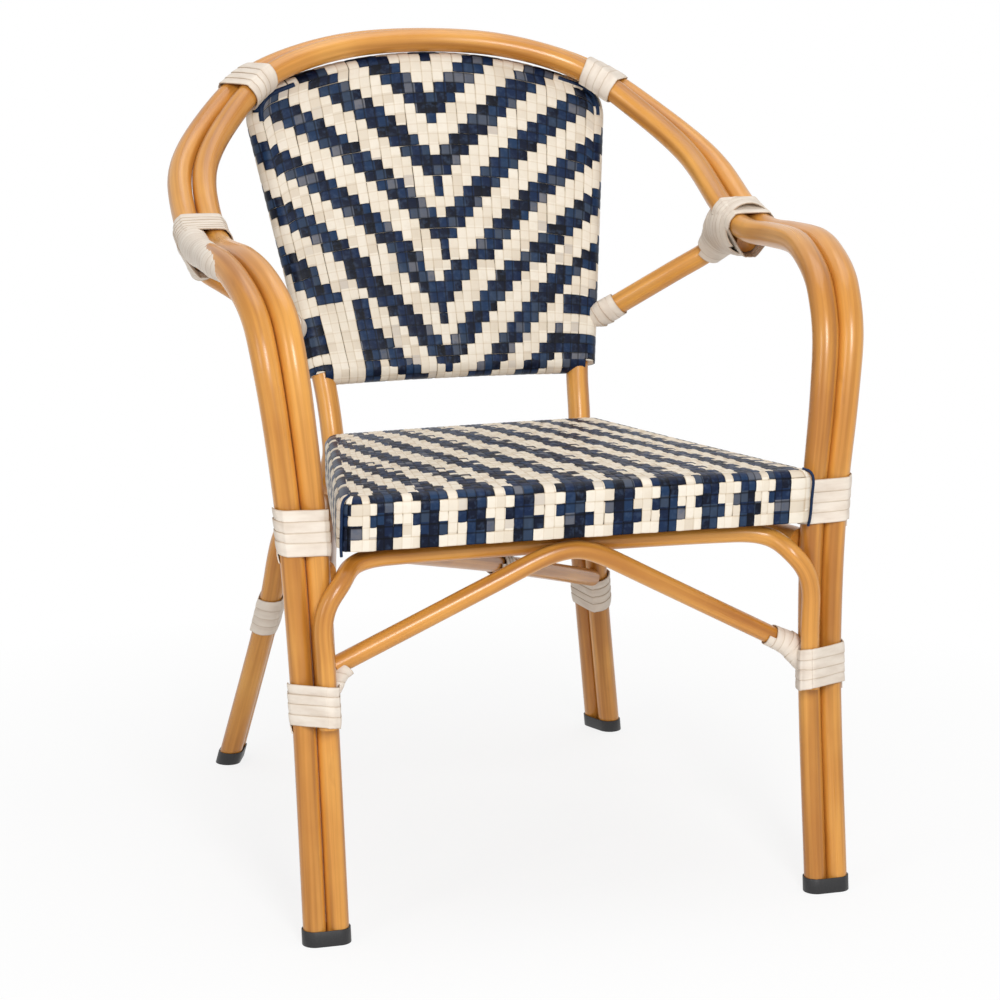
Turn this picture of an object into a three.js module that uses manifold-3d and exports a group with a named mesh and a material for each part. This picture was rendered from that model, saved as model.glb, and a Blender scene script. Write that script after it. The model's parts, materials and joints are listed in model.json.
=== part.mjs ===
import * as THREE from 'three';
import { mergeVertices } from 'three/addons/utils/BufferGeometryUtils.js';
import Module from 'manifold-3d';

const wasm = await Module();
wasm.setup();

// Driving dimensions in millimetres. The chair faces -Y, +Z is up, and it stands on z = 0.
const footHalfSpan = 262;
const jointHalfSpan = 301.5;
const jointReach = 373;
const armHeight = 656;
const hoopDepth = 239;
const hoopRise = 183;
const pairTubeRadius = 11.3;
const frameRadius = 12.5;
const slimRadius = 9.5;
const armBraceRadius = 12;
const stretcherRadius = 10;
const clearance = 0.3;
const wrapClearance = 0.7;

const seatFrontHeight = 435;
const seatFrontReach = 14;
const seatDepth = 422;
const seatFrontHalf = 235;
const seatRearHalf = 157;
const seatThickness = 61;
const seatCorner = 24;
const seatEdgeRound = 12;
const seatLean = 9;
const seatWeaveThickness = 3.5;
const seatTiltShare = 0.0349;
const slatRadius = 6;

const panelFootHeight = 473;
const panelFootReach = 457;
const panelFootHalf = 163;
const panelCornerHalf = 212.5;
const panelHeight = 376.5;
const panelFold = 26;
const panelWeaveThickness = 2.4;
const panelLeanShare = 0.3878;

const rearFootHalfSpan = 238.1;
const rearFootReach = 610.7;
const backFootHalfSpan = 228.7;
const backFootReach = 634.95;

const braceSpan = 237.4;
const braceApexHeight = 366;
const braceEndHeightRight = 249;
const braceEndHeightLeft = 266;
const braceReach = 42;
const frontBraceHeight = 367.5;
const limbInsetRight = 7.5;
const limbInsetLeft = -3;
const frontBraceShift = -5;
const frontBraceReach = 59;
const armBraceEndHalf = 181;
const armBraceEndReach = 485;
const armBraceEndHeight = 533;
const armBraceBendHalf = 290;
const armBraceBendReach = 429;
const armBraceBendHeight = 608.5;
const armBraceLead = 58;
const crossingReach = 300;
const crossingHeight = 293.5;
const stretcherFrontHalf = 170.7;
const stretcherFrontReach = 82;
const stretcherFrontHeight = 364;
const stretcherRearHalf = 186.1;
const stretcherRearReach = 529.5;
const stretcherRearHeight = 213;

const stripThickness = 1.6;
const stripGap = 0.5;
const lowWrapHeight = 205;
const lowWrapLength = 48;
const seatWrapHeight = 370;
const seatWrapLength = 53;
const rearWrapHeight = 172;
const rearWrapLength = 46;
const hoopWrapHalf = 208;
const hoopWrapLength = 50;
const jointWrapBefore = 66;
const jointWrapLength = 73;
const smallWrapLength = 28;
const smallWrapInset = 4;
const armBraceWrapInset = 10;
const stretcherWrapLength = 39;

const capHeight = 15;
const capFloor = 3;
const capWall = 1.2;
const frontTubeLift = 5.5;
const rearTubeLift = 8.5;

// Stations of the front leg and arm: outward, back and up shares, and the tube's swell.
const legShares = [
  [0, 0, 0, 1],
  [0.04, 0.091, 0.366, 1],
  [0.203, 0.123, 0.604, 1.07],
  [0.446, 0.134, 0.759, 1.13],
  [0.633, 0.1635, 0.861, 1.19],
  [0.7215, 0.2129, 0.9127, 1.21],
  [0.81, 0.2654, 0.939, 1.22],
  [0.949, 0.3753, 0.9665, 1.21],
  [1.076, 0.493, 0.981, 1.19],
  [1.139, 0.689, 0.981, 1.17],
  [1.05, 0.8525, 0.9795, 1.16],
  [1, 1, 1, 1.15],
];
// Stations of the hoop from the arm joint to the crown: across, back and up shares, and swell.
const hoopShares = [
  [0.965, 0.385, 0.29, 1.15],
  [0.83, 0.657, 0.552, 1.15],
  [0.634, 0.854, 0.803, 1.15],
  [0.345, 0.954, 0.956, 1.15],
  [0, 1, 1, 1.15],
];
// Side rail from the rear foot to the front leg: shares of foot span, foot reach and seat height.
const railShares = [
  [1, 1, 0],
  [0.836, 0.896, 0.46],
  [0.781, 0.852, 0.667],
  [0.722, 0.77, 0.76],
  [0.693, 0.655, 0.7956],
  [0.82, 0.44, 0.8046],
  [0.945, 0.246, 0.8126],
  [1.0425, 0.0885, 0.8178],
];
// Back frame below the panel, from the foot up: shares of its foot span, reach and seat height.
const backLegShares = [
  [1, 1, 0],
  [0.831, 0.9, 0.46],
  [0.796, 0.883, 0.563],
  [0.735, 0.855, 0.667],
  [0.68, 0.7985, 0.759],
  [0.638, 0.7355, 0.846],
  [0.625, 0.7095, 0.908],
  [0.632, 0.7166, 0.977],
];
// Front U-brace: height shares of its limbs on the legs, then shares of foot span, reach, height.
const limbShares = [0.568, 0.683, 0.81, 0.875];
const frontBraceShares = [
  [0.884, 0.42, 0.952],
  [0.862, 0.645, 0.976],
  [0.79, 0.797, 0.997],
  [0.687, 0.9, 1],
  [0.458, 0.983, 1],
  [0, 1, 1],
];
// Lambda brace from an end to the apex: shares of its half span, reach and rise from that end.
const lambdaShares = [
  [1, 1, 0],
  [0.6, 0.97, 0.427],
  [0.255, 0.945, 0.796],
  [0.128, 0.94, 0.93],
];
const lambdaApexShare = 0.936;
const panelCornerShare = 0.868;
const panelSideShare = 0.774;
const panelTopShares = [0.844, 0.905];
const frontLeanShare = [0.0067, 0.1417];
const rearLeanShare = [-0.196, -0.319];
const jointShare = legShares.length - 1;
const crownShare = jointShare + hoopShares.length;
const seamShare = 0.003;
const asideBlendShare = 0.6;

const enamel = new THREE.MeshStandardMaterial({ color: 0xd08a3c, roughness: 0.25 });
const ivoryStrip = new THREE.MeshStandardMaterial({ color: 0xf0e4d2, roughness: 0.55 });
const navyWeave = new THREE.MeshStandardMaterial({ color: 0x5d6a86, roughness: 0.6 });
const blackRubber = new THREE.MeshStandardMaterial({ color: 0x161616, roughness: 0.8 });

let leastGap = Infinity;

/** A space curve given by a function of its share, from 0 to 1. */
class Strand extends THREE.Curve {
  constructor(place) {
    super();
    this.place = place;
  }

  getPoint(share, target = new THREE.Vector3()) {
    return target.copy(this.place(share));
  }
}

const lerp = THREE.MathUtils.lerp;

function stationPoints(shares, spans) {
  return shares.map(([across, back, up]) => new THREE.Vector3(
    across * spans[0], back * spans[1], up * spans[2]));
}

function flipped(point) {
  return new THREE.Vector3(-point.x, point.y, point.z);
}

function onSide(points, side) {
  return side > 0 ? points : points.map(flipped);
}

function throughPoints(points) {
  return new THREE.CatmullRomCurve3(points, false, 'centripetal');
}

/** Share of a curve, between two shares, at which a measure of its point reaches a value. */
function shareWhere(curve, measure, value, low, high) {
  let from = low;
  let to = high;
  const rising = measure(curve.getPoint(to)) > measure(curve.getPoint(from));
  for (let i = 0; i < 40; i += 1) {
    const middle = (from + to) / 2;
    if ((measure(curve.getPoint(middle)) < value) === rising) {
      from = middle;
    } else {
      to = middle;
    }
  }
  return from;
}

function shareAtHeight(curve, height, low, high) {
  return shareWhere(curve, (point) => point.z, height, low, high);
}

/** Stations are counted from the right foot up to the crown, station by station. */
function pairHalf() {
  const leg = legShares.map(([out, back, up]) => new THREE.Vector3(
    footHalfSpan + out * (jointHalfSpan - footHalfSpan), back * jointReach, up * armHeight));
  const hoop = hoopShares.map(([across, back, up]) => new THREE.Vector3(
    across * jointHalfSpan, jointReach + back * hoopDepth, armHeight + up * hoopRise));
  return [...leg, ...hoop];
}

const rightHalf = pairHalf();
const pairCurve = throughPoints([...rightHalf, ...rightHalf.slice(0, -1).reverse().map(flipped)]);

function pairCentre(side, station) {
  const point = pairCurve.getPoint(station / (2 * crownShare));
  return side > 0 ? point : flipped(point);
}

function pairTangent(side, station) {
  const tangent = pairCurve.getTangent(station / (2 * crownShare));
  return side > 0 ? tangent : flipped(tangent);
}

function pairRadius(station) {
  const swells = [...legShares, ...hoopShares].map((row) => row[3]);
  const below = Math.min(Math.floor(station), crownShare - 1);
  return pairTubeRadius * lerp(swells[below], swells[below + 1], station - below);
}

/** Direction from the inner to the outer tube of the pair. */
function pairAside(side, station) {
  const level = new THREE.Vector3(side, 0, 0);
  if (station <= jointShare) {
    return level;
  }
  const tangent = pairTangent(side, station);
  const normal = new THREE.Vector3(side * tangent.y, -side * tangent.x, 0).normalize();
  const blend = THREE.MathUtils.smoothstep(station - jointShare, 0, asideBlendShare);
  return level.lerp(normal, blend).normalize();
}

function pairUnder(side, station) {
  const tangent = pairTangent(side, station);
  return tangent.cross(pairAside(side, station)).multiplyScalar(side).normalize();
}

function pairSpot(side, station, member) {
  const offset = member * (pairRadius(station) + clearance / 2);
  return pairCentre(side, station).addScaledVector(pairAside(side, station), offset);
}

function sectionRing(sides) {
  const points = [];
  for (let i = 0; i < sides; i += 1) {
    const angle = (2 * Math.PI * (i + 0.5)) / sides;
    points.push(new THREE.Vector2(Math.cos(angle), Math.sin(angle)));
  }
  return points;
}

function bareGeometry(geometry) {
  const copy = geometry.clone();
  copy.deleteAttribute('normal');
  copy.deleteAttribute('uv');
  return mergeVertices(copy, 1e-3);
}

/** Round tube along a curve; the radius is a length or a function of the curve's share. */
function tube(curve, radius, steps, sides) {
  const unit = new THREE.ExtrudeGeometry(new THREE.Shape(sectionRing(sides)), {
    steps,
    bevelEnabled: false,
    extrudePath: curve,
  });
  const geometry = bareGeometry(unit);
  const centres = curve.getSpacedPoints(steps);
  const radii = centres.map((_, i) => (
    typeof radius === 'number' ? radius : radius(curve.getUtoTmapping(i / steps))));
  const spots = geometry.getAttribute('position');
  const spot = new THREE.Vector3();
  for (let i = 0; i < spots.count; i += 1) {
    spot.fromBufferAttribute(spots, i);
    let nearest = 0;
    centres.forEach((centre, k) => {
      if (spot.distanceToSquared(centre) < spot.distanceToSquared(centres[nearest])) {
        nearest = k;
      }
    });
    spot.sub(centres[nearest]).multiplyScalar(radii[nearest]).add(centres[nearest]);
    spots.setXYZ(i, spot.x, spot.y, spot.z);
  }
  return geometry;
}

function solidFrom(geometry) {
  const bare = bareGeometry(geometry);
  return new wasm.Manifold(new wasm.Mesh({
    numProp: 3,
    vertProperties: new Float32Array(bare.getAttribute('position').array),
    triVerts: new Uint32Array(bare.index.array),
  }));
}

function geometryFrom(solid) {
  const mesh = solid.getMesh();
  const geometry = new THREE.BufferGeometry();
  geometry.setAttribute('position', new THREE.BufferAttribute(mesh.vertProperties.slice(), 3));
  geometry.setIndex(new THREE.BufferAttribute(mesh.triVerts.slice(), 1));
  return geometry;
}

function node(name, geometry, material) {
  const shaded = geometry;
  shaded.computeVertexNormals();
  const mesh = new THREE.Mesh(shaded, material);
  mesh.name = name;
  return mesh;
}

function sideName(side) {
  return side > 0 ? 'right' : 'left';
}

/** Point on the edge of an ellipse with the given radii where its normal has this angle. */
function edgeSpot(member, angle) {
  const wide = member.wide * Math.cos(angle);
  const tall = member.tall * Math.sin(angle);
  const size = Math.hypot(wide, tall);
  return new THREE.Vector2((member.wide * wide) / size, (member.tall * tall) / size);
}

/** The member that a taut strip touches at this angle. */
function outermost(members, angle) {
  const reach = (member) => member.at.x * Math.cos(angle) + member.at.y * Math.sin(angle)
    + Math.hypot(member.wide * Math.cos(angle), member.tall * Math.sin(angle));
  return members.reduce((best, member, i) => (
    reach(member) > reach(members[best]) ? i : best), 0);
}

/**
 * One flat strip wound round a bundle. The frame at a share of the axis gives its centre, two
 * directions across, and the members' places and radii in that plane.
 */
function winding(axis, turns, frameAt, steps = 14) {
  const length = axis.getLength();
  const pitch = (length + stripGap) / (turns + 1);
  const width = pitch - stripGap;
  const loosen = 1 / Math.cos(Math.PI / steps);
  const corners = [];
  for (let k = 0; k <= turns * steps; k += 1) {
    const angle = (2 * Math.PI * k) / steps;
    const low = (pitch * k) / steps;
    const touched = outermost(frameAt((low + width / 2) / length).members, angle);
    [[low, 0], [low, 1], [low + width, 1], [low + width, 0]].forEach(([along, layer]) => {
      const frame = frameAt(Math.min(along / length, 1));
      const member = frame.members[touched];
      const edge = edgeSpot(member, angle).multiplyScalar(loosen);
      const lift = wrapClearance + layer * stripThickness;
      corners.push(frame.centre.clone()
        .addScaledVector(frame.across, member.at.x + edge.x + lift * Math.cos(angle))
        .addScaledVector(frame.away, member.at.y + edge.y + lift * Math.sin(angle)));
    });
  }
  measureGap(corners, turns, steps);
  return stripBody(corners);
}

function measureGap(corners, turns, steps) {
  for (let k = 0; k <= (turns - 1) * steps; k += 1) {
    const ahead = k + steps;
    leastGap = Math.min(
      leastGap,
      corners[4 * k + 3].distanceTo(corners[4 * ahead]),
      corners[4 * k + 2].distanceTo(corners[4 * ahead + 1]),
    );
  }
}

function stripBody(corners) {
  const index = [];
  const last = corners.length - 4;
  for (let start = 0; start < last; start += 4) {
    for (let i = 0; i < 4; i += 1) {
      const next = (i + 1) % 4;
      index.push(start + i, start + next, start + 4 + next);
      index.push(start + i, start + 4 + next, start + 4 + i);
    }
  }
  index.push(0, 2, 1, 0, 3, 2);
  index.push(last, last + 1, last + 2, last, last + 2, last + 3);
  const geometry = new THREE.BufferGeometry().setFromPoints(corners);
  return facedOutward(geometry, index);
}

function facedOutward(geometry, index) {
  const spots = geometry.getAttribute('position');
  const [a, b, c] = [new THREE.Vector3(), new THREE.Vector3(), new THREE.Vector3()];
  let volume = 0;
  for (let i = 0; i < index.length; i += 3) {
    a.fromBufferAttribute(spots, index[i]);
    b.fromBufferAttribute(spots, index[i + 1]);
    c.fromBufferAttribute(spots, index[i + 2]);
    volume += a.dot(b.cross(c));
  }
  if (volume < 0) {
    index.reverse();
  }
  geometry.setIndex(index);
  return geometry;
}

/** Axis and frames of a wrap round the pair, with any more members below or before it. */
function pairWinding(side, from, to, turns, more) {
  const stationAt = (share) => lerp(from, to, share);
  const axis = new Strand((share) => pairCentre(side, stationAt(share)));
  const frameAt = (u) => {
    const station = stationAt(axis.getUtoTmapping(u));
    const away = pairUnder(side, station);
    const radius = pairRadius(station);
    const half = radius + clearance / 2;
    const pair = [-half, half].map((x) => (
      { at: new THREE.Vector2(x, 0), wide: radius, tall: radius }));
    return {
      centre: pairCentre(side, station),
      across: pairAside(side, station),
      away,
      members: [...pair, ...more(station)],
    };
  };
  return winding(axis, turns, frameAt);
}

/** Wrap round one tube, between two lengths from the start of its curve. */
function singleWinding(curve, start, length, radius, turns) {
  const whole = curve.getLength();
  const axis = new Strand((share) => curve.getPointAt((start + share * length) / whole));
  const frameAt = (u) => {
    const tangent = axis.getTangentAt(u);
    const across = new THREE.Vector3(-tangent.y, tangent.x, 0).normalize();
    return {
      centre: axis.getPointAt(u),
      across,
      away: tangent.clone().cross(across),
      members: [{ at: new THREE.Vector2(0, 0), wide: radius, tall: radius }],
    };
  };
  return winding(axis, turns, frameAt);
}

function armLegTube(side, member) {
  const from = shareAtHeight(new Strand((share) => pairCentre(side, share)), frontTubeLift, 0, 1);
  const to = jointShare - seamShare;
  const curve = new Strand((share) => pairSpot(side, lerp(from, to, share), member));
  return tube(curve, (share) => pairRadius(lerp(from, to, share)), 44, 10);
}

function armLegTubes(side) {
  const name = `arm_leg_tube_${sideName(side)}`;
  return [
    node(`${name}_outer`, armLegTube(side, 1), enamel),
    node(`${name}_inner`, armLegTube(side, -1), enamel),
  ];
}

/** The hoop's share runs from the left joint over the crown to the right joint. */
function hoopStation(share) {
  const from = jointShare + seamShare;
  return crownShare - Math.abs(1 - 2 * share) * (crownShare - from);
}

function hoopTube(member) {
  const curve = new Strand((share) => (
    pairSpot(share < 0.5 ? -1 : 1, hoopStation(share), member)));
  return tube(curve, (share) => pairRadius(hoopStation(share)), 36, 10);
}

function hoopTubes() {
  return [
    node('hoop_tube_front', hoopTube(-1), enamel),
    node('hoop_tube_rear', hoopTube(1), enamel),
  ];
}

const panelLean = Math.atan(panelLeanShare);
const panelMatrix = new THREE.Matrix4()
  .makeTranslation(0, panelFootReach, panelFootHeight)
  .multiply(new THREE.Matrix4().makeRotationX(Math.PI / 2 - panelLean));

/** Edge of the back panel in its own plane, from the lower right corner over the top. */
function panelEdge() {
  const corner = new THREE.Vector2(panelCornerHalf, panelCornerShare * panelHeight);
  const [across, up] = panelTopShares;
  const top = new THREE.Vector2(across * panelCornerHalf, up * panelHeight);
  const side = panelSideShare * panelHeight;
  const edge = new THREE.Path();
  edge.moveTo(panelFootHalf, 0);
  edge.lineTo(panelHalfAt(side), side);
  edge.quadraticCurveTo(corner.x, corner.y, top.x, top.y);
  edge.quadraticCurveTo(0, 2 * panelHeight - top.y, -top.x, top.y);
  edge.quadraticCurveTo(-corner.x, corner.y, -panelHalfAt(side), side);
  edge.lineTo(-panelFootHalf, 0);
  return edge;
}

const panelCurvePoints = 10;
const panelSlant = (panelCornerHalf - panelFootHalf) / (panelCornerShare * panelHeight);

/** Half width of the panel at a height on its straight sides, measured to a line inside them. */
function panelHalfAt(height, inset = 0) {
  return panelFootHalf + height * panelSlant - inset * Math.hypot(1, panelSlant);
}

/** The edge moved inwards by a length, with its two ends on a level base. */
function panelLine(inset, base) {
  const points = panelEdge().getPoints(panelCurvePoints);
  const last = points.length - 1;
  const runAt = (i) => points[i + 1].clone().sub(points[i]).normalize();
  const moved = points.map((point, i) => {
    const ahead = runAt(Math.min(i, last - 1));
    const run = ahead.clone().add(runAt(Math.max(i - 1, 0))).normalize();
    const reach = inset / run.dot(ahead);
    return new THREE.Vector2(point.x - run.y * reach, point.y + run.x * reach);
  });
  moved[0].set(panelHalfAt(base, inset), base);
  moved[last].set(-panelHalfAt(base, inset), base);
  return moved;
}

function panelSlab(inset, round, depth) {
  const slab = new THREE.ExtrudeGeometry(new THREE.Shape(panelLine(inset, inset)), {
    depth: depth - 2 * round,
    bevelThickness: round,
    bevelSize: round,
    bevelOffset: -round,
    bevelSegments: 3,
    bevelEnabled: round > 0,
  });
  slab.translate(0, 0, round - depth);
  return slab;
}

const panelTubeInset = panelWeaveThickness + 2.4 * clearance + frameRadius;
const panelDepth = 2 * panelTubeInset;

function panelTubePoint(x, y) {
  return new THREE.Vector3(x, y, -panelTubeInset).applyMatrix4(panelMatrix);
}

function backFrameHalf() {
  const spans = [backFootHalfSpan, backFootReach, seatFrontHeight];
  const leg = stationPoints(backLegShares, spans);
  const line = panelLine(panelTubeInset, 0);
  const [foot, side] = line;
  const bend = line.slice(1).filter((spot) => spot.x > frameRadius);
  const upright = [foot, foot.clone().lerp(side, 0.45), foot.clone().lerp(side, 0.9), ...bend];
  return [...leg, ...upright.map((spot) => panelTubePoint(spot.x, spot.y))];
}

const backHalf = backFrameHalf();
const backTop = panelTubePoint(0, panelHeight - panelTubeInset);
const backCurve = throughPoints([...backHalf, backTop, ...backHalf.slice().reverse().map(flipped)]);

function backFrameTube() {
  const from = shareAtHeight(backCurve, rearTubeLift, 0, 0.05);
  const curve = new Strand((share) => backCurve.getPoint(lerp(from, 1 - from, share)));
  return node('back_frame_tube', tube(curve, frameRadius, 84, 10), enamel);
}

function rowTube(from, to, radius, sides = 10) {
  return tube(new THREE.LineCurve3(from, to), radius, 1, sides);
}

function backBottomRail() {
  const height = panelWeaveThickness + 3 * clearance + slimRadius;
  const half = panelHalfAt(height, panelTubeInset) - frameRadius - 2 * clearance
    - slimRadius * panelSlant;
  const rail = rowTube(panelTubePoint(-half, height), panelTubePoint(half, height), slimRadius);
  return node('back_bottom_rail', rail, enamel);
}

/** Woven skin of the back: a sheet in front whose edge folds right round the frame tube. */
function backWeave() {
  const round = panelTubeInset - clearance;
  const inner = round - panelWeaveThickness;
  const pocket = panelSlab(panelWeaveThickness, inner, panelDepth - 2 * panelWeaveThickness);
  pocket.translate(0, 0, -panelWeaveThickness);
  const opening = panelSlab(panelFold, 0, panelDepth);
  opening.translate(0, 0, -panelTubeInset);
  let solid = solidFrom(panelSlab(0, round, panelDepth))
    .subtract(solidFrom(pocket))
    .subtract(solidFrom(opening));
  [1, -1].forEach((side) => {
    solid = solid.subtract(uprightHole(side));
  });
  return node('back_weave', geometryFrom(solid).applyMatrix4(panelMatrix), navyWeave);
}

function uprightHole(side) {
  const spot = (height) => new THREE.Vector3(
    side * panelHalfAt(height, panelTubeInset), height, -panelTubeInset);
  const radius = frameRadius + 2 * clearance;
  return solidFrom(rowTube(spot(-panelDepth), spot(panelTubeInset), radius, 16));
}

const railHalf = stationPoints(railShares, [rearFootHalfSpan, rearFootReach, seatFrontHeight]);

function railCurve(side) {
  return throughPoints(onSide(railHalf, side));
}

function sideRail(side) {
  const whole = railCurve(side);
  const from = shareAtHeight(whole, rearTubeLift, 0, 0.14);
  const curve = new Strand((share) => whole.getPoint(lerp(from, 1, share)));
  return node(`side_rail_leg_${sideName(side)}`, tube(curve, frameRadius, 30, 10), enamel);
}

function legStation(side, height) {
  const axis = new Strand((share) => pairCentre(side, share * jointShare));
  return jointShare * shareAtHeight(axis, height, 0, 0.6);
}

/** Place of a brace limb that stands against the front of the inner leg tube. */
function limbOffset(side, station) {
  const radius = pairRadius(station);
  const inset = side > 0 ? limbInsetRight : limbInsetLeft;
  const contact = radius + slimRadius + clearance;
  return new THREE.Vector2(
    -radius - clearance / 2 - inset, -Math.sqrt(contact ** 2 - inset ** 2));
}

function limbSpot(side, height) {
  const station = legStation(side, height);
  const offset = limbOffset(side, station);
  return pairCentre(side, station)
    .addScaledVector(pairAside(side, station), offset.x)
    .addScaledVector(pairUnder(side, station), offset.y);
}

function frontBrace() {
  const limbs = (side) => limbShares.map((share) => limbSpot(side, share * frontBraceHeight));
  const half = stationPoints(
    frontBraceShares, [footHalfSpan, frontBraceReach, frontBraceHeight]);
  const top = [...half, ...half.slice(0, -1).reverse().map(flipped)];
  top.forEach((spot) => {
    spot.x += frontBraceShift;
  });
  const curve = throughPoints([...limbs(1), ...top, ...limbs(-1).reverse()]);
  return node('front_u_brace', tube(curve, slimRadius, 32, 10), enamel);
}

function lambdaHalf(side, endHeight) {
  return lambdaShares.map(([across, back, up]) => new THREE.Vector3(
    side * across * braceSpan, back * braceReach, lerp(endHeight, braceApexHeight, up)));
}

const lambdaCurve = throughPoints([
  ...lambdaHalf(1, braceEndHeightRight),
  new THREE.Vector3(0, lambdaApexShare * braceReach, braceApexHeight),
  ...lambdaHalf(-1, braceEndHeightLeft).reverse(),
]);

function lambdaBrace() {
  return node('front_lambda_brace', tube(lambdaCurve, slimRadius, 20, 10), enamel);
}

function stationNear(side, station, length) {
  const step = 0.01;
  const pace = pairCentre(side, station).distanceTo(pairCentre(side, station + step)) / step;
  return station + length / pace;
}

function armBraceDrop(station) {
  const radius = pairRadius(station);
  const contact = radius + armBraceRadius + clearance;
  return Math.sqrt(contact ** 2 - (radius + clearance / 2) ** 2);
}

function armBraceSpot(side, station) {
  return pairCentre(side, station).addScaledVector(pairUnder(side, station), armBraceDrop(station));
}

function armBraceCurve(side) {
  const lead = [-1, -0.5, 0, 0.12].map((share) => (
    armBraceSpot(side, stationNear(side, jointShare, share * armBraceLead))));
  const bend = new THREE.Vector3(side * armBraceBendHalf, armBraceBendReach, armBraceBendHeight);
  const end = new THREE.Vector3(side * armBraceEndHalf, armBraceEndReach, armBraceEndHeight);
  const turn = new THREE.Vector3().lerpVectors(lead[3], bend, 0.55);
  turn.y += 0.3 * armBraceRadius;
  return throughPoints([...lead, turn, bend, bend.clone().lerp(end, 0.3), end]);
}

function armBrace(side) {
  const brace = tube(armBraceCurve(side), armBraceRadius, 16, 10);
  return node(`arm_brace_${sideName(side)}`, brace, enamel);
}

/** The diagonal tube under the seat, from the right rear leg to the left front corner. */
function stretcherCurve() {
  return throughPoints([
    new THREE.Vector3(stretcherRearHalf, stretcherRearReach, stretcherRearHeight),
    new THREE.Vector3(0, crossingReach, crossingHeight),
    new THREE.Vector3(-stretcherFrontHalf, stretcherFrontReach, stretcherFrontHeight),
  ]);
}

function stretcher() {
  return node('diagonal_stretcher', tube(stretcherCurve(), stretcherRadius, 8, 10), enamel);
}

const seatTilt = Math.atan(seatTiltShare);
const seatMatrix = new THREE.Matrix4()
  .makeTranslation(0, seatFrontReach, seatFrontHeight)
  .multiply(new THREE.Matrix4().makeRotationX(-seatTilt));

function seatHalfAt(depth) {
  return lerp(seatFrontHalf, seatRearHalf, depth / seatDepth);
}

/** Seat outline seen from above with rounded corners, set in by a length all round. */
function seatShape(inset) {
  const corner = Math.max(seatCorner - inset, 2 * clearance);
  const front = seatHalfAt(inset) - inset;
  const rear = seatHalfAt(seatDepth - inset) - inset;
  const far = seatDepth - inset;
  const shape = new THREE.Shape();
  shape.moveTo(-front + corner, inset);
  shape.lineTo(front - corner, inset);
  shape.quadraticCurveTo(front, inset, seatHalfAt(inset + corner) - inset, inset + corner);
  shape.lineTo(seatHalfAt(far - corner) - inset, far - corner);
  shape.quadraticCurveTo(rear, far, rear - corner, far);
  shape.lineTo(-rear + corner, far);
  shape.quadraticCurveTo(-rear, far, inset - seatHalfAt(far - corner), far - corner);
  shape.lineTo(inset - seatHalfAt(inset + corner), inset + corner);
  shape.quadraticCurveTo(-front, inset, -front + corner, inset);
  return shape;
}

function seatSlab(inset, round, depth) {
  const slab = new THREE.ExtrudeGeometry(seatShape(inset), {
    depth,
    curveSegments: 4,
    bevelThickness: round,
    bevelSize: round,
    bevelOffset: -round,
    bevelSegments: 3,
  });
  slab.translate(0, 0, -depth - round);
  return slab;
}

/** The front of the seat leans back towards its lower edge. */
function leaned(geometry) {
  const spots = geometry.getAttribute('position');
  for (let i = 0; i < spots.count; i += 1) {
    const drop = -spots.getZ(i) / seatThickness;
    spots.setY(i, spots.getY(i) + seatLean * drop * (1 - spots.getY(i) / seatDepth));
  }
  return geometry;
}

function seatWeave() {
  const pocket = seatSlab(
    seatWeaveThickness, seatEdgeRound - seatWeaveThickness, 2 * seatThickness);
  pocket.translate(0, 0, -seatWeaveThickness);
  const trim = new THREE.BoxGeometry(4 * seatFrontHalf, 4 * seatDepth, 4 * seatThickness);
  trim.translate(0, 0, -3 * seatThickness);
  const solid = solidFrom(seatSlab(0, seatEdgeRound, 2 * seatThickness))
    .subtract(solidFrom(pocket))
    .subtract(solidFrom(trim));
  const skin = leaned(geometryFrom(solid)).applyMatrix4(seatMatrix);
  return node('seat_weave', skin, navyWeave);
}

function seatSpot(x, depth, drop) {
  return new THREE.Vector3(x, depth, -drop).applyMatrix4(seatMatrix);
}

const seatBarDrop = seatWeaveThickness + clearance + slimRadius;
const seatFrontBarDepth = seatBarDrop + 0.5 * seatLean;
const seatRearBarDepth = seatDepth - seatBarDrop;
const seatSlant = (seatFrontHalf - seatRearHalf) / seatDepth;

function seatBar(from, to, drop, radius) {
  return rowTube(seatSpot(from[0], from[1], drop), seatSpot(to[0], to[1], drop), radius);
}

function seatEndRail(name, depth) {
  const half = seatHalfAt(depth) - seatWeaveThickness - 0.86 * seatCorner;
  return node(name, seatBar([-half, depth], [half, depth], seatBarDrop, slimRadius), enamel);
}

function seatSideRailHalf(depth) {
  return seatHalfAt(depth) - (seatBarDrop + clearance) * Math.hypot(1, seatSlant);
}

function seatSideRail(side) {
  const set = slimRadius * (1 + seatSlant) + 2 * clearance;
  const ends = [seatFrontBarDepth + set, seatRearBarDepth - set];
  const [from, to] = ends.map((depth) => [side * seatSideRailHalf(depth), depth]);
  const rail = seatBar(from, to, seatBarDrop, slimRadius);
  return node(`seat_side_rail_${sideName(side)}`, rail, enamel);
}

function seatSlat(name, share) {
  const depth = share * seatDepth;
  const half = seatSideRailHalf(depth + slatRadius) - slimRadius * Math.hypot(1, seatSlant)
    - 2 * clearance;
  const drop = seatWeaveThickness + clearance + slatRadius;
  return node(name, seatBar([-half, depth], [half, depth], drop, slatRadius), enamel);
}

function seatFrame() {
  return [
    seatEndRail('seat_front_rail', seatFrontBarDepth),
    seatEndRail('seat_rear_rail', seatRearBarDepth),
    seatSideRail(1),
    seatSideRail(-1),
    seatSlat('seat_slat_front', 0.36),
    seatSlat('seat_slat_rear', 0.66),
  ];
}

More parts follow.
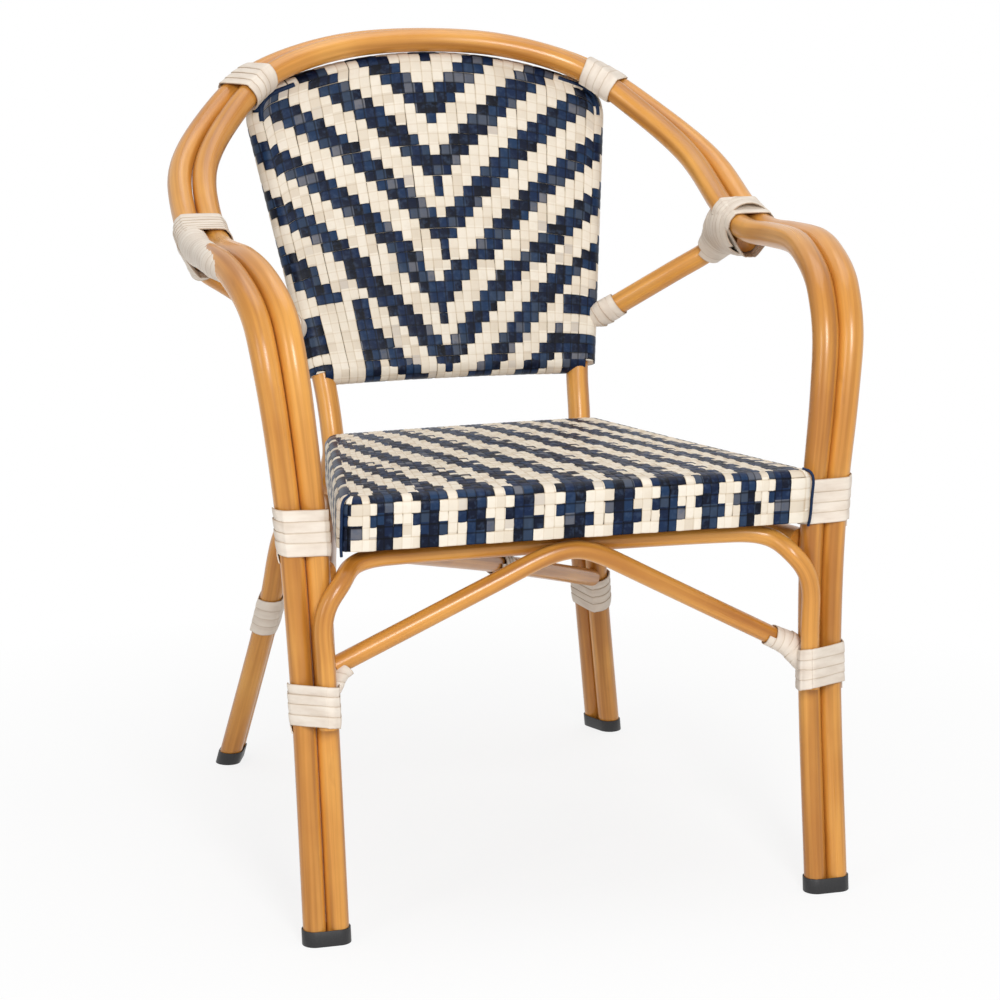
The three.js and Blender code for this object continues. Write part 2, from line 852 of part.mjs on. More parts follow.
function legWraps(side) {
  const limb = (station) => [
    { at: limbOffset(side, station), wide: slimRadius, tall: slimRadius },
  ];
  const low = pairWinding(
    side,
    legStation(side, lowWrapHeight),
    legStation(side, lowWrapHeight + lowWrapLength),
    4,
    limb,
  );
  const high = pairWinding(
    side,
    legStation(side, seatWrapHeight),
    legStation(side, seatWrapHeight + seatWrapLength),
    4,
    () => [],
  );
  return [
    node(`wrap_front_low_${sideName(side)}`, low, ivoryStrip),
    node(`wrap_seat_level_${sideName(side)}`, high, ivoryStrip),
  ];
}

function upperWraps(side) {
  const from = stationNear(side, jointShare, -jointWrapBefore);
  const to = stationNear(side, jointShare, jointWrapLength - jointWrapBefore);
  const joint = pairWinding(side, from, to, 6, (station) => [{
    at: new THREE.Vector2(0, armBraceDrop(station)),
    wide: armBraceRadius,
    tall: armBraceRadius,
  }]);
  const axis = new Strand((share) => pairCentre(1, lerp(jointShare, crownShare, share)));
  const middle = lerp(jointShare, crownShare, shareWhere(axis, (point) => point.x, hoopWrapHalf, 0.3, 1));
  const hoop = pairWinding(
    side,
    stationNear(side, middle, -hoopWrapLength / 2),
    stationNear(side, middle, hoopWrapLength / 2),
    4,
    () => [],
  );
  return [
    node(`wrap_arm_joint_${sideName(side)}`, joint, ivoryStrip),
    node(`wrap_hoop_${sideName(side)}`, hoop, ivoryStrip),
  ];
}

/** Wrap that holds the two rear leg tubes of one side together. */
function rearWrap(side) {
  const near = railCurve(side);
  const half = side > 0 ? backHalf : backHalf.map(flipped);
  const far = throughPoints(half);
  const spotAt = (curve, height, high) => curve.getPoint(shareAtHeight(curve, height, 0, high));
  const levelAt = (share) => rearWrapHeight + share * rearWrapLength;
  const middleAt = (share) => {
    const level = levelAt(share);
    return spotAt(near, level, 0.3).add(spotAt(far, level, 0.12)).multiplyScalar(0.5);
  };
  const axis = new Strand(middleAt);
  const frameAt = (u) => {
    const share = axis.getUtoTmapping(u);
    const centre = middleAt(share);
    const tangent = axis.getTangentAt(u);
    const span = spotAt(far, levelAt(share), 0.12).sub(spotAt(near, levelAt(share), 0.3));
    const across = span.addScaledVector(tangent, -span.dot(tangent));
    const offset = across.length() / 2;
    across.normalize();
    const members = [-offset, offset].map((x) => (
      { at: new THREE.Vector2(x, 0), wide: frameRadius, tall: frameRadius }));
    return { centre, across, away: tangent.clone().cross(across), members };
  };
  return node(`wrap_rear_leg_${sideName(side)}`, winding(axis, 4, frameAt), ivoryStrip);
}

function lambdaWrap(side) {
  const curve = new Strand((share) => lambdaCurve.getPoint(side > 0 ? share : 1 - share));
  const wrap = singleWinding(curve, smallWrapInset, smallWrapLength, slimRadius, 2);
  return node(`wrap_lambda_end_${sideName(side)}`, wrap, ivoryStrip);
}

function armBraceWrap(side) {
  const whole = armBraceCurve(side);
  const curve = new Strand((share) => whole.getPoint(1 - share));
  const wrap = singleWinding(curve, armBraceWrapInset, smallWrapLength, armBraceRadius, 2);
  return node(`wrap_arm_brace_${sideName(side)}`, wrap, ivoryStrip);
}

function stretcherWrap() {
  const curve = stretcherCurve();
  const reach = (curve.getLength() - stretcherWrapLength) / 2;
  const wrap = singleWinding(curve, reach, stretcherWrapLength, stretcherRadius, 3);
  return node('wrap_stretcher', wrap, ivoryStrip);
}

function stadium(half, radius) {
  const shape = new THREE.Shape();
  shape.absarc(half, 0, radius, -Math.PI / 2, Math.PI / 2);
  shape.absarc(-half, 0, radius, Math.PI / 2, (3 * Math.PI) / 2);
  return shape;
}

function capBlock(half, radius, base, top) {
  const block = new THREE.ExtrudeGeometry(stadium(half, radius), {
    depth: top - base,
    curveSegments: 8,
    bevelEnabled: false,
  });
  block.translate(0, 0, base);
  return solidFrom(block);
}

/** Sleeve with a floor for two tube ends, slanted with the tubes and flat on the ground. */
function footCap(feet, lean, tubeRadius) {
  const middle = feet[0].clone().add(feet[1]).multiplyScalar(0.5);
  const slope = lean.length();
  const heading = lean.clone().normalize();
  const stretch = Math.hypot(1, slope) - 1;
  const span = feet[1].clone().sub(feet[0]);
  span.addScaledVector(heading, -span.dot(heading) * (stretch / (1 + stretch)));
  const bore = tubeRadius + clearance;
  const half = span.length() / 2;
  const solid = capBlock(half, bore + capWall, 0, capHeight)
    .subtract(capBlock(half, bore, capFloor, 2 * capHeight));
  const geometry = geometryFrom(solid).rotateZ(span.angle());
  const spots = geometry.getAttribute('position');
  for (let i = 0; i < spots.count; i += 1) {
    const spot = new THREE.Vector2(spots.getX(i), spots.getY(i));
    const height = spots.getZ(i);
    spot.addScaledVector(heading, spot.dot(heading) * stretch);
    spot.addScaledVector(lean, height).add(middle);
    spots.setXYZ(i, spot.x, spot.y, height);
  }
  return geometry;
}

function footCaps(side) {
  const half = pairTubeRadius + clearance / 2;
  const front = [-half, half].map((x) => new THREE.Vector2(side * footHalfSpan + x, 0));
  const rear = [
    new THREE.Vector2(side * rearFootHalfSpan, rearFootReach),
    new THREE.Vector2(side * backFootHalfSpan, backFootReach),
  ];
  const frontLean = new THREE.Vector2(side * frontLeanShare[0], frontLeanShare[1]);
  const rearLean = new THREE.Vector2(side * rearLeanShare[0], rearLeanShare[1]);
  return [
    node(`foot_cap_front_${sideName(side)}`, footCap(front, frontLean, pairTubeRadius), blackRubber),
    node(`foot_cap_rear_${sideName(side)}`, footCap(rear, rearLean, frameRadius), blackRubber),
  ];
}

function sideParts(side) {
  return [
    ...armLegTubes(side),
    sideRail(side),
    armBrace(side),
    ...legWraps(side),
    ...upperWraps(side),
    rearWrap(side),
    lambdaWrap(side),
    armBraceWrap(side),
    ...footCaps(side),
  ];
}

/** Moves every mesh so that the origin lies under the middle of the chair, on the floor. */
function centred(meshes) {
  const group = new THREE.Group();
  group.name = 'rattan_bistro_chair';
  const bounds = new THREE.Box3();
  meshes.forEach((mesh) => bounds.union(new THREE.Box3().setFromObject(mesh)));
  const middle = bounds.getCenter(new THREE.Vector3());
  meshes.forEach((mesh) => {
    mesh.geometry.translate(-middle.x, -middle.y, -bounds.min.z);
    group.add(mesh);
  });
  return group;
}

const chair = centred([
  ...sideParts(1),
  ...sideParts(-1),
  ...hoopTubes(),
  backFrameTube(),
  backBottomRail(),
  frontBrace(),
  lambdaBrace(),
  ...seatFrame(),
  seatWeave(),
  backWeave(),
  stretcher(),
  stretcherWrap(),
]);

console.log(`least gap between turns of a winding: ${leastGap.toFixed(2)} mm`);

export default chair;
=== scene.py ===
import json
import math
import bpy
import numpy as np
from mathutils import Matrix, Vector

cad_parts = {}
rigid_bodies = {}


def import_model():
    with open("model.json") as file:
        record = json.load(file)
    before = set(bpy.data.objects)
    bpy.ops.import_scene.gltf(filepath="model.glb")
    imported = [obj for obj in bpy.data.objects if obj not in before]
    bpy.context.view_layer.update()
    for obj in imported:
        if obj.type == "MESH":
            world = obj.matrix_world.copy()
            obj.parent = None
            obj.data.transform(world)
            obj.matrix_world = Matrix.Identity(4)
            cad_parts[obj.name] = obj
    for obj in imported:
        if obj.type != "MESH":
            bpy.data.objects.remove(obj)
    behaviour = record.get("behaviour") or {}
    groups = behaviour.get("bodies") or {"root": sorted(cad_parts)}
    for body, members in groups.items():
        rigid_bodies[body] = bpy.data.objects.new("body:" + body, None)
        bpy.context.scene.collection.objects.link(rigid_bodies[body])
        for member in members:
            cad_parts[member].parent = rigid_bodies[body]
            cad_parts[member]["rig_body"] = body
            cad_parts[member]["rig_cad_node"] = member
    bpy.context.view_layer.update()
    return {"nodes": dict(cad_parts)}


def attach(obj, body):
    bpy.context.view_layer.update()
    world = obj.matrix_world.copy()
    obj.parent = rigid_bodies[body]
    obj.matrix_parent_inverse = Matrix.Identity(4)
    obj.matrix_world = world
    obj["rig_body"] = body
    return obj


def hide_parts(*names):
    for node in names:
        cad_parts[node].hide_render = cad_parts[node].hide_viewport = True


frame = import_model()
MM = 0.001
# the design's zero depth, in millimetres from the model's origin
SHIFT_Y = -318.3535


# Materials

# roughness of every noise pattern
NOISE_ROUGHNESS = 0.55


def new_material(name, color, roughness):
    material = bpy.data.materials.new(name)
    material.use_nodes = True
    nodes = material.node_tree.nodes
    shader = nodes["Principled BSDF"]
    shader.inputs["Base Color"].default_value = (*color, 1)
    shader.inputs["Roughness"].default_value = roughness
    return material, nodes, material.node_tree.links, shader


def attribute(nodes, name):
    node = nodes.new("ShaderNodeAttribute")
    node.attribute_name = name
    return node


def noise(nodes, links, vector, scale, detail):
    node = nodes.new("ShaderNodeTexNoise")
    node.inputs["Scale"].default_value = scale
    node.inputs["Detail"].default_value = detail
    node.inputs["Roughness"].default_value = NOISE_ROUGHNESS
    links.new(vector, node.inputs["Vector"])
    return node.outputs["Fac"]


def stretched(nodes, links, vector, scale):
    node = nodes.new("ShaderNodeVectorMath")
    node.operation = "MULTIPLY"
    links.new(vector, node.inputs[0])
    node.inputs[1].default_value = scale
    return node.outputs["Vector"]


def ramp(nodes, links, value, stops):
    node = nodes.new("ShaderNodeValToRGB")
    band = node.color_ramp
    while len(band.elements) < len(stops):
        band.elements.new(0.5)
    for element, (place, color) in zip(band.elements, stops):
        element.position = place
        element.color = (*color, 1)
    links.new(value, node.inputs["Fac"])
    return node.outputs["Color"]


def blend_colors(nodes, links, factor, first, second, kind="MIX"):
    node = nodes.new("ShaderNodeMix")
    node.data_type = "RGBA"
    node.blend_type = kind
    for key, value in (("Factor", factor), ("A", first), ("B", second)):
        socket = node.inputs[key]
        if isinstance(value, (int, float)):
            socket.default_value = value
        elif isinstance(value, tuple):
            socket.default_value = (*value, 1)
        else:
            links.new(value, socket)
    return node.outputs["Result"]


def math_node(nodes, links, operation, *values):
    node = nodes.new("ShaderNodeMath")
    node.operation = operation
    for socket, value in zip(node.inputs, values):
        if isinstance(value, (int, float)):
            socket.default_value = value
        else:
            links.new(value, socket)
    return node.outputs["Value"]


def bumped(nodes, links, shader, height, distance, strength):
    node = nodes.new("ShaderNodeBump")
    node.inputs["Distance"].default_value = distance
    node.inputs["Strength"].default_value = strength
    links.new(height, node.inputs["Height"])
    links.new(node.outputs["Normal"], shader.inputs["Normal"])


def bamboo_enamel():
    """Glossy caramel enamel on tube, with long soft streaks like split cane, and broad bands of painted
    highlight and painted shade along it.
    """
    material, nodes, links, shader = new_material("bamboo_enamel", (0.62, 0.31, 0.08), 0.3)
    along = attribute(nodes, "along").outputs["Vector"]
    cloud = noise(nodes, links, stretched(nodes, links, along, (7, 9, 9)), 1.0, 3)
    streak = noise(nodes, links, stretched(nodes, links, along, (2.2, 130, 130)), 1.0, 4)
    band = noise(nodes, links, stretched(nodes, links, along, (2.6, 62, 62)), 1.0, 2)
    base = ramp(nodes, links, cloud, [
        (0.25, (0.56, 0.225, 0.036)), (0.5, (0.67, 0.30, 0.055)), (0.75, (0.78, 0.39, 0.085))])
    grain = ramp(nodes, links, streak, [
        (0.3, (0.74, 0.68, 0.58)), (0.52, (1.0, 1.0, 1.0)), (0.75, (1.06, 1.07, 1.1))])
    color = blend_colors(nodes, links, 1.0, base, grain, "MULTIPLY")
    # painted highlight and painted shade: broad lighter and darker bands along each tube, at random turns
    # round it
    broad = ramp(nodes, links, band, [
        (0.36, (0.66, 0.56, 0.42)), (0.5, (1.0, 1.0, 1.0)), (0.68, (1.08, 1.1, 1.12))])
    color = blend_colors(nodes, links, 0.85, color, broad, "MULTIPLY")
    smudge = noise(nodes, links, stretched(nodes, links, along, (20, 60, 60)), 1.0, 2)
    mask = ramp(nodes, links, smudge, [(0.66, (0, 0, 0)), (0.8, (0.4, 0.4, 0.4))])
    color = blend_colors(nodes, links, mask, color, (0.33, 0.125, 0.022))
    links.new(color, shader.inputs["Base Color"])
    gloss = ramp(nodes, links, streak, [(0.3, (0.36, 0.36, 0.36)), (0.7, (0.26, 0.26, 0.26))])
    links.new(gloss, shader.inputs["Roughness"])
    shader.inputs["Specular IOR Level"].default_value = 0.4
    shader.inputs["Coat Weight"].default_value = 0.22
    shader.inputs["Coat Roughness"].default_value = 0.16
    bumped(nodes, links, shader, streak, 0.00015, 0.6)
    return material


def strip_plastic():
    """Ivory flat strip of the bindings, with painted shade at its edges where one turn tucks under the next.
    """
    material, nodes, links, shader = new_material("ivory_strip", (0.80, 0.71, 0.58), 0.55)
    along = attribute(nodes, "along").outputs["Vector"]
    tone = noise(nodes, links, stretched(nodes, links, along, (28, 90, 90)), 1.0, 3)
    color = ramp(nodes, links, tone, [
        (0.3, (0.70, 0.60, 0.50)), (0.55, (0.80, 0.71, 0.61)), (0.8, (0.86, 0.79, 0.70))])
    side = math_node(nodes, links, "ABSOLUTE", attribute(nodes, "side").outputs["Fac"])
    # painted shade: the strip darkens towards both its edges, where one turn tucks under the next
    tuck = ramp(nodes, links, side, [
        (0.78, (1, 1, 1)), (0.92, (0.88, 0.84, 0.78)), (1.0, (0.64, 0.56, 0.48))])
    color = blend_colors(nodes, links, 1.0, color, tuck, "MULTIPLY")
    fine = noise(nodes, links, stretched(nodes, links, along, (12, 700, 700)), 1.0, 2)
    links.new(color, shader.inputs["Base Color"])
    shader.inputs["Specular IOR Level"].default_value = 0.3
    bumped(nodes, links, shader, fine, 0.0002, 0.5)
    return material


def strand_plastic():
    """Woven strands, navy or ivory by their dye, with a tone for each visible cell, painted shade at each
    cell's rim and along each strand's edges, painted shadow where a strand sinks under a crossing one, and
    painted sheen on the navy.
    """
    material, nodes, links, shader = new_material("woven_strand", (0.1, 0.1, 0.2), 0.42)
    dye = attribute(nodes, "dye").outputs["Fac"]
    cell = attribute(nodes, "cell").outputs["Vector"]
    along = attribute(nodes, "along").outputs["Vector"]
    white = nodes.new("ShaderNodeTexWhiteNoise")
    links.new(cell, white.inputs["Vector"])
    tone = white.outputs["Value"]
    fibre = noise(nodes, links, stretched(nodes, links, along, (60, 900, 900)), 1.0, 3)
    cloud = noise(nodes, links, stretched(nodes, links, along, (160, 160, 160)), 1.0, 3)
    navy = ramp(nodes, links, tone, [
        (0.0, (0.002, 0.003, 0.008)), (0.3, (0.003, 0.007, 0.024)), (0.55, (0.006, 0.017, 0.055)),
        (0.75, (0.011, 0.033, 0.085)), (0.9, (0.032, 0.050, 0.085)), (1.0, (0.17, 0.17, 0.19))])
    # painted sheen: lighter patches on the navy, laid by the cloud
    painted_sheen = ramp(nodes, links, cloud, [(0.5, (0, 0, 0)), (0.8, (0.6, 0.6, 0.6))])
    navy = blend_colors(nodes, links, painted_sheen, navy, (0.045, 0.075, 0.14))
    ivory = ramp(nodes, links, tone, [
        (0.0, (0.70, 0.61, 0.49)), (0.3, (0.79, 0.71, 0.59)), (0.8, (0.84, 0.77, 0.66)),
        (0.95, (0.77, 0.69, 0.57)), (1.0, (0.56, 0.50, 0.44))])
    stain = ramp(nodes, links, cloud, [(0.5, (0, 0, 0)), (0.8, (0.3, 0.3, 0.3))])
    ivory = blend_colors(nodes, links, stain, ivory, (0.70, 0.58, 0.44))
    place = nodes.new("ShaderNodeSeparateXYZ")
    links.new(attribute(nodes, "step").outputs["Vector"], place.inputs["Vector"])
    part = math_node(nodes, links, "FRACT", math_node(nodes, links, "ADD", place.outputs["X"], 100.0))
    from_middle = math_node(nodes, links, "ABSOLUTE", math_node(nodes, links, "SUBTRACT", part, 0.5))
    near = math_node(nodes, links, "MULTIPLY", from_middle, 2.0)
    side = math_node(nodes, links, "ABSOLUTE", place.outputs["Y"])
    # painted shade: each visible cell darkens at its two ends and along the strand's two edges
    navy_rim_shade = ramp(nodes, links, near, [(0.74, (1, 1, 1)), (0.9, (0.5, 0.5, 0.5)), (1.0, (0.2, 0.2, 0.2))])
    navy_edge_shade = ramp(nodes, links, side, [(0.7, (1, 1, 1)), (1.0, (0.35, 0.35, 0.35))])
    ivory_rim_shade = ramp(nodes, links, near, [(0.84, (1, 1, 1)), (1.0, (0.9, 0.86, 0.8))])
    ivory_edge_shade = ramp(nodes, links, side, [(0.8, (1, 1, 1)), (1.0, (0.84, 0.78, 0.70))])
    navy = blend_colors(nodes, links, 1.0, navy, navy_rim_shade, "MULTIPLY")
    navy = blend_colors(nodes, links, 1.0, navy, navy_edge_shade, "MULTIPLY")
    ivory = blend_colors(nodes, links, 1.0, ivory, ivory_rim_shade, "MULTIPLY")
    ivory = blend_colors(nodes, links, 1.0, ivory, ivory_edge_shade, "MULTIPLY")
    color = blend_colors(nodes, links, dye, ivory, navy)
    # painted shadow: a strand darkens where it sinks under the strand crossing it
    height = math_node(nodes, links, "MULTIPLY_ADD", place.outputs["Z"], 0.5, 0.5)
    under = ramp(nodes, links, height, [
        (0.06, (1, 1, 1)), (0.14, (0.2, 0.19, 0.19)), (0.38, (0.2, 0.19, 0.19)), (0.46, (1, 1, 1))])
    color = blend_colors(nodes, links, 1.0, color, under, "MULTIPLY")
    links.new(color, shader.inputs["Base Color"])
    gloss = ramp(nodes, links, dye, [(0.0, (0.55, 0.55, 0.55)), (1.0, (0.4, 0.4, 0.4))])
    links.new(gloss, shader.inputs["Roughness"])
    shader.inputs["Specular IOR Level"].default_value = 0.15
    bumped(nodes, links, shader, fibre, 0.0003, 0.6)
    return material


def moulded_rubber():
    """Black moulded foot."""
    material, nodes, links, shader = new_material("foot_rubber", (0.012, 0.012, 0.013), 0.45)
    place = nodes.new("ShaderNodeTexCoord").outputs["Object"]
    speck = noise(nodes, links, place, 900.0, 3)
    tone = ramp(nodes, links, speck, [(0.3, (0.008, 0.008, 0.009)), (0.8, (0.022, 0.022, 0.024))])
    links.new(tone, shader.inputs["Base Color"])
    bumped(nodes, links, shader, speck, 0.0002, 0.4)
    return material


ENAMEL = bamboo_enamel()
STRIP = strip_plastic()
STRAND = strand_plastic()
RUBBER = moulded_rubber()


# Helpers

# sides of a CAD tube and of a CAD binding strip, and how near its doubles lie
TUBE_SIDES, STRIP_SIDES = 10, 4
WELD_REACH = 2e-6


def clear_selection():
    if bpy.context.object and bpy.context.object.mode != "OBJECT":
        bpy.ops.object.mode_set(mode="OBJECT")
    bpy.ops.object.select_all(action="DESELECT")


def only(piece):
    clear_selection()
    piece.select_set(True)
    bpy.context.view_layer.objects.active = piece


def apply_modifier(piece, kind, **settings):
    only(piece)
    modifier = piece.modifiers.new(kind.lower(), kind)
    for key, value in settings.items():
        setattr(modifier, key, value)
    bpy.ops.object.modifier_apply(modifier=modifier.name)


def smooth(piece, angle=40):
    only(piece)
    bpy.ops.object.shade_smooth_by_angle(angle=math.radians(angle))


def dress(piece, material, slot, *nodes):
    piece.data.materials.clear()
    piece.data.materials.append(material)
    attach(piece, "root")
    if nodes:
        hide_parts(*nodes)
    return piece


def set_attribute(mesh, name, kind, domain, values):
    layer = mesh.attributes.new(name, kind, domain)
    values = np.ascontiguousarray(values, np.float32).ravel()
    layer.data.foreach_set("vector" if kind == "FLOAT_VECTOR" else "value", values)


def welded(name):
    """Corner points and triangles of a CAD node with its doubles merged."""
    mesh = frame["nodes"][name].data
    spots = np.zeros(len(mesh.vertices) * 3, np.float32)
    mesh.vertices.foreach_get("co", spots)
    spots = spots.reshape(-1, 3).astype(float)
    faces = np.zeros(len(mesh.polygons) * 3, np.int32)
    mesh.polygons.foreach_get("vertices", faces)
    keys, index = np.unique(np.round(spots / WELD_REACH).astype(np.int64), axis=0, return_inverse=True)
    index = index.ravel()
    merged = np.zeros((len(keys), 3))
    merged[index] = spots
    return merged, index[faces.reshape(-1, 3)]


def rings_of(name, sides):
    """Rings of a swept CAD bar, from one end to the other."""
    spots, faces = welded(name)
    near = [set() for _ in spots]
    for a, b, c in faces:
        near[a].update((b, c))
        near[b].update((a, c))
        near[c].update((a, b))
    first = end_ring(spots, faces, near, sides)
    rings, seen = [sorted(first)], set(first)
    while True:
        ring = set().union(*(near[i] for i in rings[-1])) - seen
        if not ring:
            break
        seen |= ring
        rings.append(sorted(ring))
    return [spots[ring] for ring in rings]


def end_ring(spots, faces, near, sides):
    if sides == STRIP_SIDES:
        ends = {i for i, around in enumerate(near) if len(around) <= 5}
        start = min(ends)
        group, edge = {start}, [start]
        while edge:
            for j in near[edge.pop()] & ends - group:
                group.add(j)
                edge.append(j)
        return group
    normals = np.cross(spots[faces[:, 1]] - spots[faces[:, 0]], spots[faces[:, 2]] - spots[faces[:, 0]])
    normals /= np.linalg.norm(normals, axis=1)[:, None]
    keys = {}
    for k, normal in enumerate(normals):
        keys.setdefault(tuple(np.round(normal, 3)), []).append(k)
    for group in sorted(keys.values(), key=len, reverse=True):
        seed = normals[group[0]]
        flat = np.where(normals @ seed > 0.9999)[0]
        corners = set(faces[flat].ravel())
        if len(flat) == sides - 2 and len(corners) == sides:
            return corners
    raise RuntimeError("no end ring found")


def eased(points, steps):
    """Points on a smooth curve through the given ones, with a number of steps for each span."""
    points = np.asarray(points, float)
    ends = np.vstack([2 * points[0] - points[1], points, 2 * points[-1] - points[-2]])
    made = []
    for k in range(1, len(ends) - 2):
        a, b, c, d = ends[k - 1:k + 3]
        for step in range(steps):
            t = step / steps
            square = (2 * a - 5 * b + 4 * c - d) * t * t
            cube = (3 * b - a - 3 * c + d) * t ** 3
            made.append(0.5 * (2 * b + (c - a) * t + square + cube))
    made.append(ends[-2])
    return np.array(made)


def by_length(points, count):
    """The same line with points evenly spaced."""
    points = np.asarray(points, float)
    run = np.concatenate([[0], np.cumsum(np.linalg.norm(np.diff(points, axis=0), axis=1))])
    at = np.linspace(0, run[-1], count)
    return np.stack([np.interp(at, run, points[:, k]) for k in range(points.shape[1])], 1)


# Tubes

# millimetres between points of a tube's line, and over which a usual bend is softened
SPACING, USUAL_BEND = 4, 20
# scale of the grain round a tube, and its shift from tube to tube
GRAIN_RADIUS, GRAIN_SHIFT = 0.012, 0.37


def tube_piece(name, centres, radii, resolution=8):
    """A round tube laid along a centre line, made from a path curve."""
    clear_selection()
    bpy.ops.curve.primitive_nurbs_path_add(location=(0, 0, 0))
    piece = bpy.context.object
    piece.name = name
    curve = piece.data
    curve.splines.clear()
    line = curve.splines.new("POLY")
    line.points.add(len(centres) - 1)
    line.points.foreach_set("co", np.hstack([centres, np.ones((len(centres), 1))]).ravel())
    line.points.foreach_set("radius", np.asarray(radii, float))
    curve.dimensions = "3D"
    curve.twist_mode = "MINIMUM"
    curve.bevel_depth = 1.0
    curve.bevel_resolution = resolution
    curve.use_fill_caps = True
    bpy.ops.object.convert(target="MESH")
    piece = bpy.context.object
    mesh = piece.data
    sides = len(mesh.vertices) // len(centres)
    run = np.concatenate([[0], np.cumsum(np.linalg.norm(np.diff(centres, axis=0), axis=1))])
    ring, turn = np.divmod(np.arange(len(mesh.vertices)), sides)
    ring = np.minimum(ring, len(centres) - 1)
    angle = 2 * math.pi * turn / sides
    seed = sum(map(ord, name)) % 97
    around = np.stack([run[ring] + GRAIN_SHIFT * seed,
                       GRAIN_RADIUS * np.cos(angle), GRAIN_RADIUS * np.sin(angle)], 1)
    set_attribute(mesh, "along", "FLOAT_VECTOR", "POINT", around)
    smooth(piece, 50)
    return piece


def settled(points, reach):
    """The line evenly spaced and softened over a reach, with its ends kept."""
    length = np.linalg.norm(np.diff(points, axis=0), axis=1).sum()
    count = max(int(length / (SPACING * MM)), 3)
    points = by_length(points, count + 1)
    window = max(int(reach / (SPACING * MM)) | 1, 1)
    kernel = np.hanning(window + 2)[1:-1]
    kernel /= kernel.sum()
    side = window // 2
    head = 2 * points[0] - points[side:0:-1]
    tail = 2 * points[-1] - points[-2:-side - 2:-1]
    long_line = np.vstack([head, points, tail]) if side else points
    return np.stack([np.convolve(long_line[:, k], kernel, "valid") for k in range(3)], 1)


# millimetres over which the wider bends are softened
SOFT_BENDS = {"front_u_brace": 44, "front_lambda_brace": 36, "arm_brace_right": 36, "arm_brace_left": 36}
# millimetres added at the front and the rear end
END_CHANGES = {"front_lambda_brace": (4, 4), "arm_brace_right": (-8, 0), "arm_brace_left": (-8, 0)}


def run_on(line, front, rear):
    """The line made longer at its ends or, where negative, cut back."""
    ends = (front, rear) if line[0, 1] < line[-1, 1] else (rear, front)
    for more in ends:
        line = line[max(int(-more / SPACING), 0):]
        run = line[0] - line[1]
        line[0] += run / np.linalg.norm(run) * max(more, 0) * MM
        line = line[::-1]
    return line


def cad_tube(node):
    """Smooth round bar in place of a CAD tube."""
    rings = rings_of(node, TUBE_SIDES)
    centres = np.array([ring.mean(0) for ring in rings])
    radii = np.array([np.linalg.norm(ring - ring.mean(0), axis=1).mean() for ring in rings])
    if len(rings) > 2:
        centres = settled(eased(centres, 4), SOFT_BENDS.get(node, USUAL_BEND) * MM)
        centres = run_on(centres, *END_CHANGES.get(node, (0, 0)))
        radii = np.interp(np.linspace(0, 1, len(centres)), np.linspace(0, 1, len(radii)), radii)
    piece = tube_piece(node.replace("tube", "cane") + "_bar", centres, radii)
    return dress(piece, ENAMEL, "bamboo_paint", node)


TUBES = [n for n in frame["nodes"] if n.startswith((
    "arm_leg_tube", "hoop_tube", "back_frame_tube", "side_rail_leg", "front_", "arm_brace",
    "diagonal", "seat_front_rail", "seat_rear_rail", "seat_side", "seat_slat", "back_bottom"))]
for node in sorted(TUBES):
    cad_tube(node)


# Bindings

# millimetres: how far a strip laps past its CAD strip, its thickness and its lift
OVERLAP, STRIP_THICKNESS, STRIP_LIFT = 1.15, 1.0, 0.05
STEPS_PER_TURN = 28


def wound_strip(node):
    """Flat strip wound in overlapping turns along the CAD winding."""
    rings = rings_of(node, STRIP_SIDES)
    centres = np.array([ring.mean(0) for ring in rings])
    middle = centres.mean(0)
    wide = []
    for ring in rings:
        spread = ring - ring.mean(0)
        axis = np.linalg.svd(spread)[2][0]
        if wide and axis @ wide[-1] < 0:
            axis = -axis
        wide.append(axis)
    wide = np.array(wide)
    if wide[0] @ (centres[-1] - centres[0]) < 0:
        wide = -wide
    half = max(np.abs((ring - ring.mean(0)) @ wide[k]).max() for k, ring in enumerate(rings))
    steps = 4
    centres = eased(centres, steps)
    wide = eased(wide, steps)
    wide /= np.linalg.norm(wide, axis=1)[:, None]
    run = np.gradient(centres, axis=0)
    run /= np.linalg.norm(run, axis=1)[:, None]
    out = np.cross(run, wide)
    spine = (centres[-1] - centres[0])
    spine /= np.linalg.norm(spine)
    away = centres - middle
    away -= (away @ spine)[:, None] * spine
    if (out * away).sum() < 0:
        out = -out
    piece = ribbon(node.replace("wrap", "binding"), centres, wide, out, half + OVERLAP * MM)
    return dress(piece, STRIP, "ivory_strip", node)


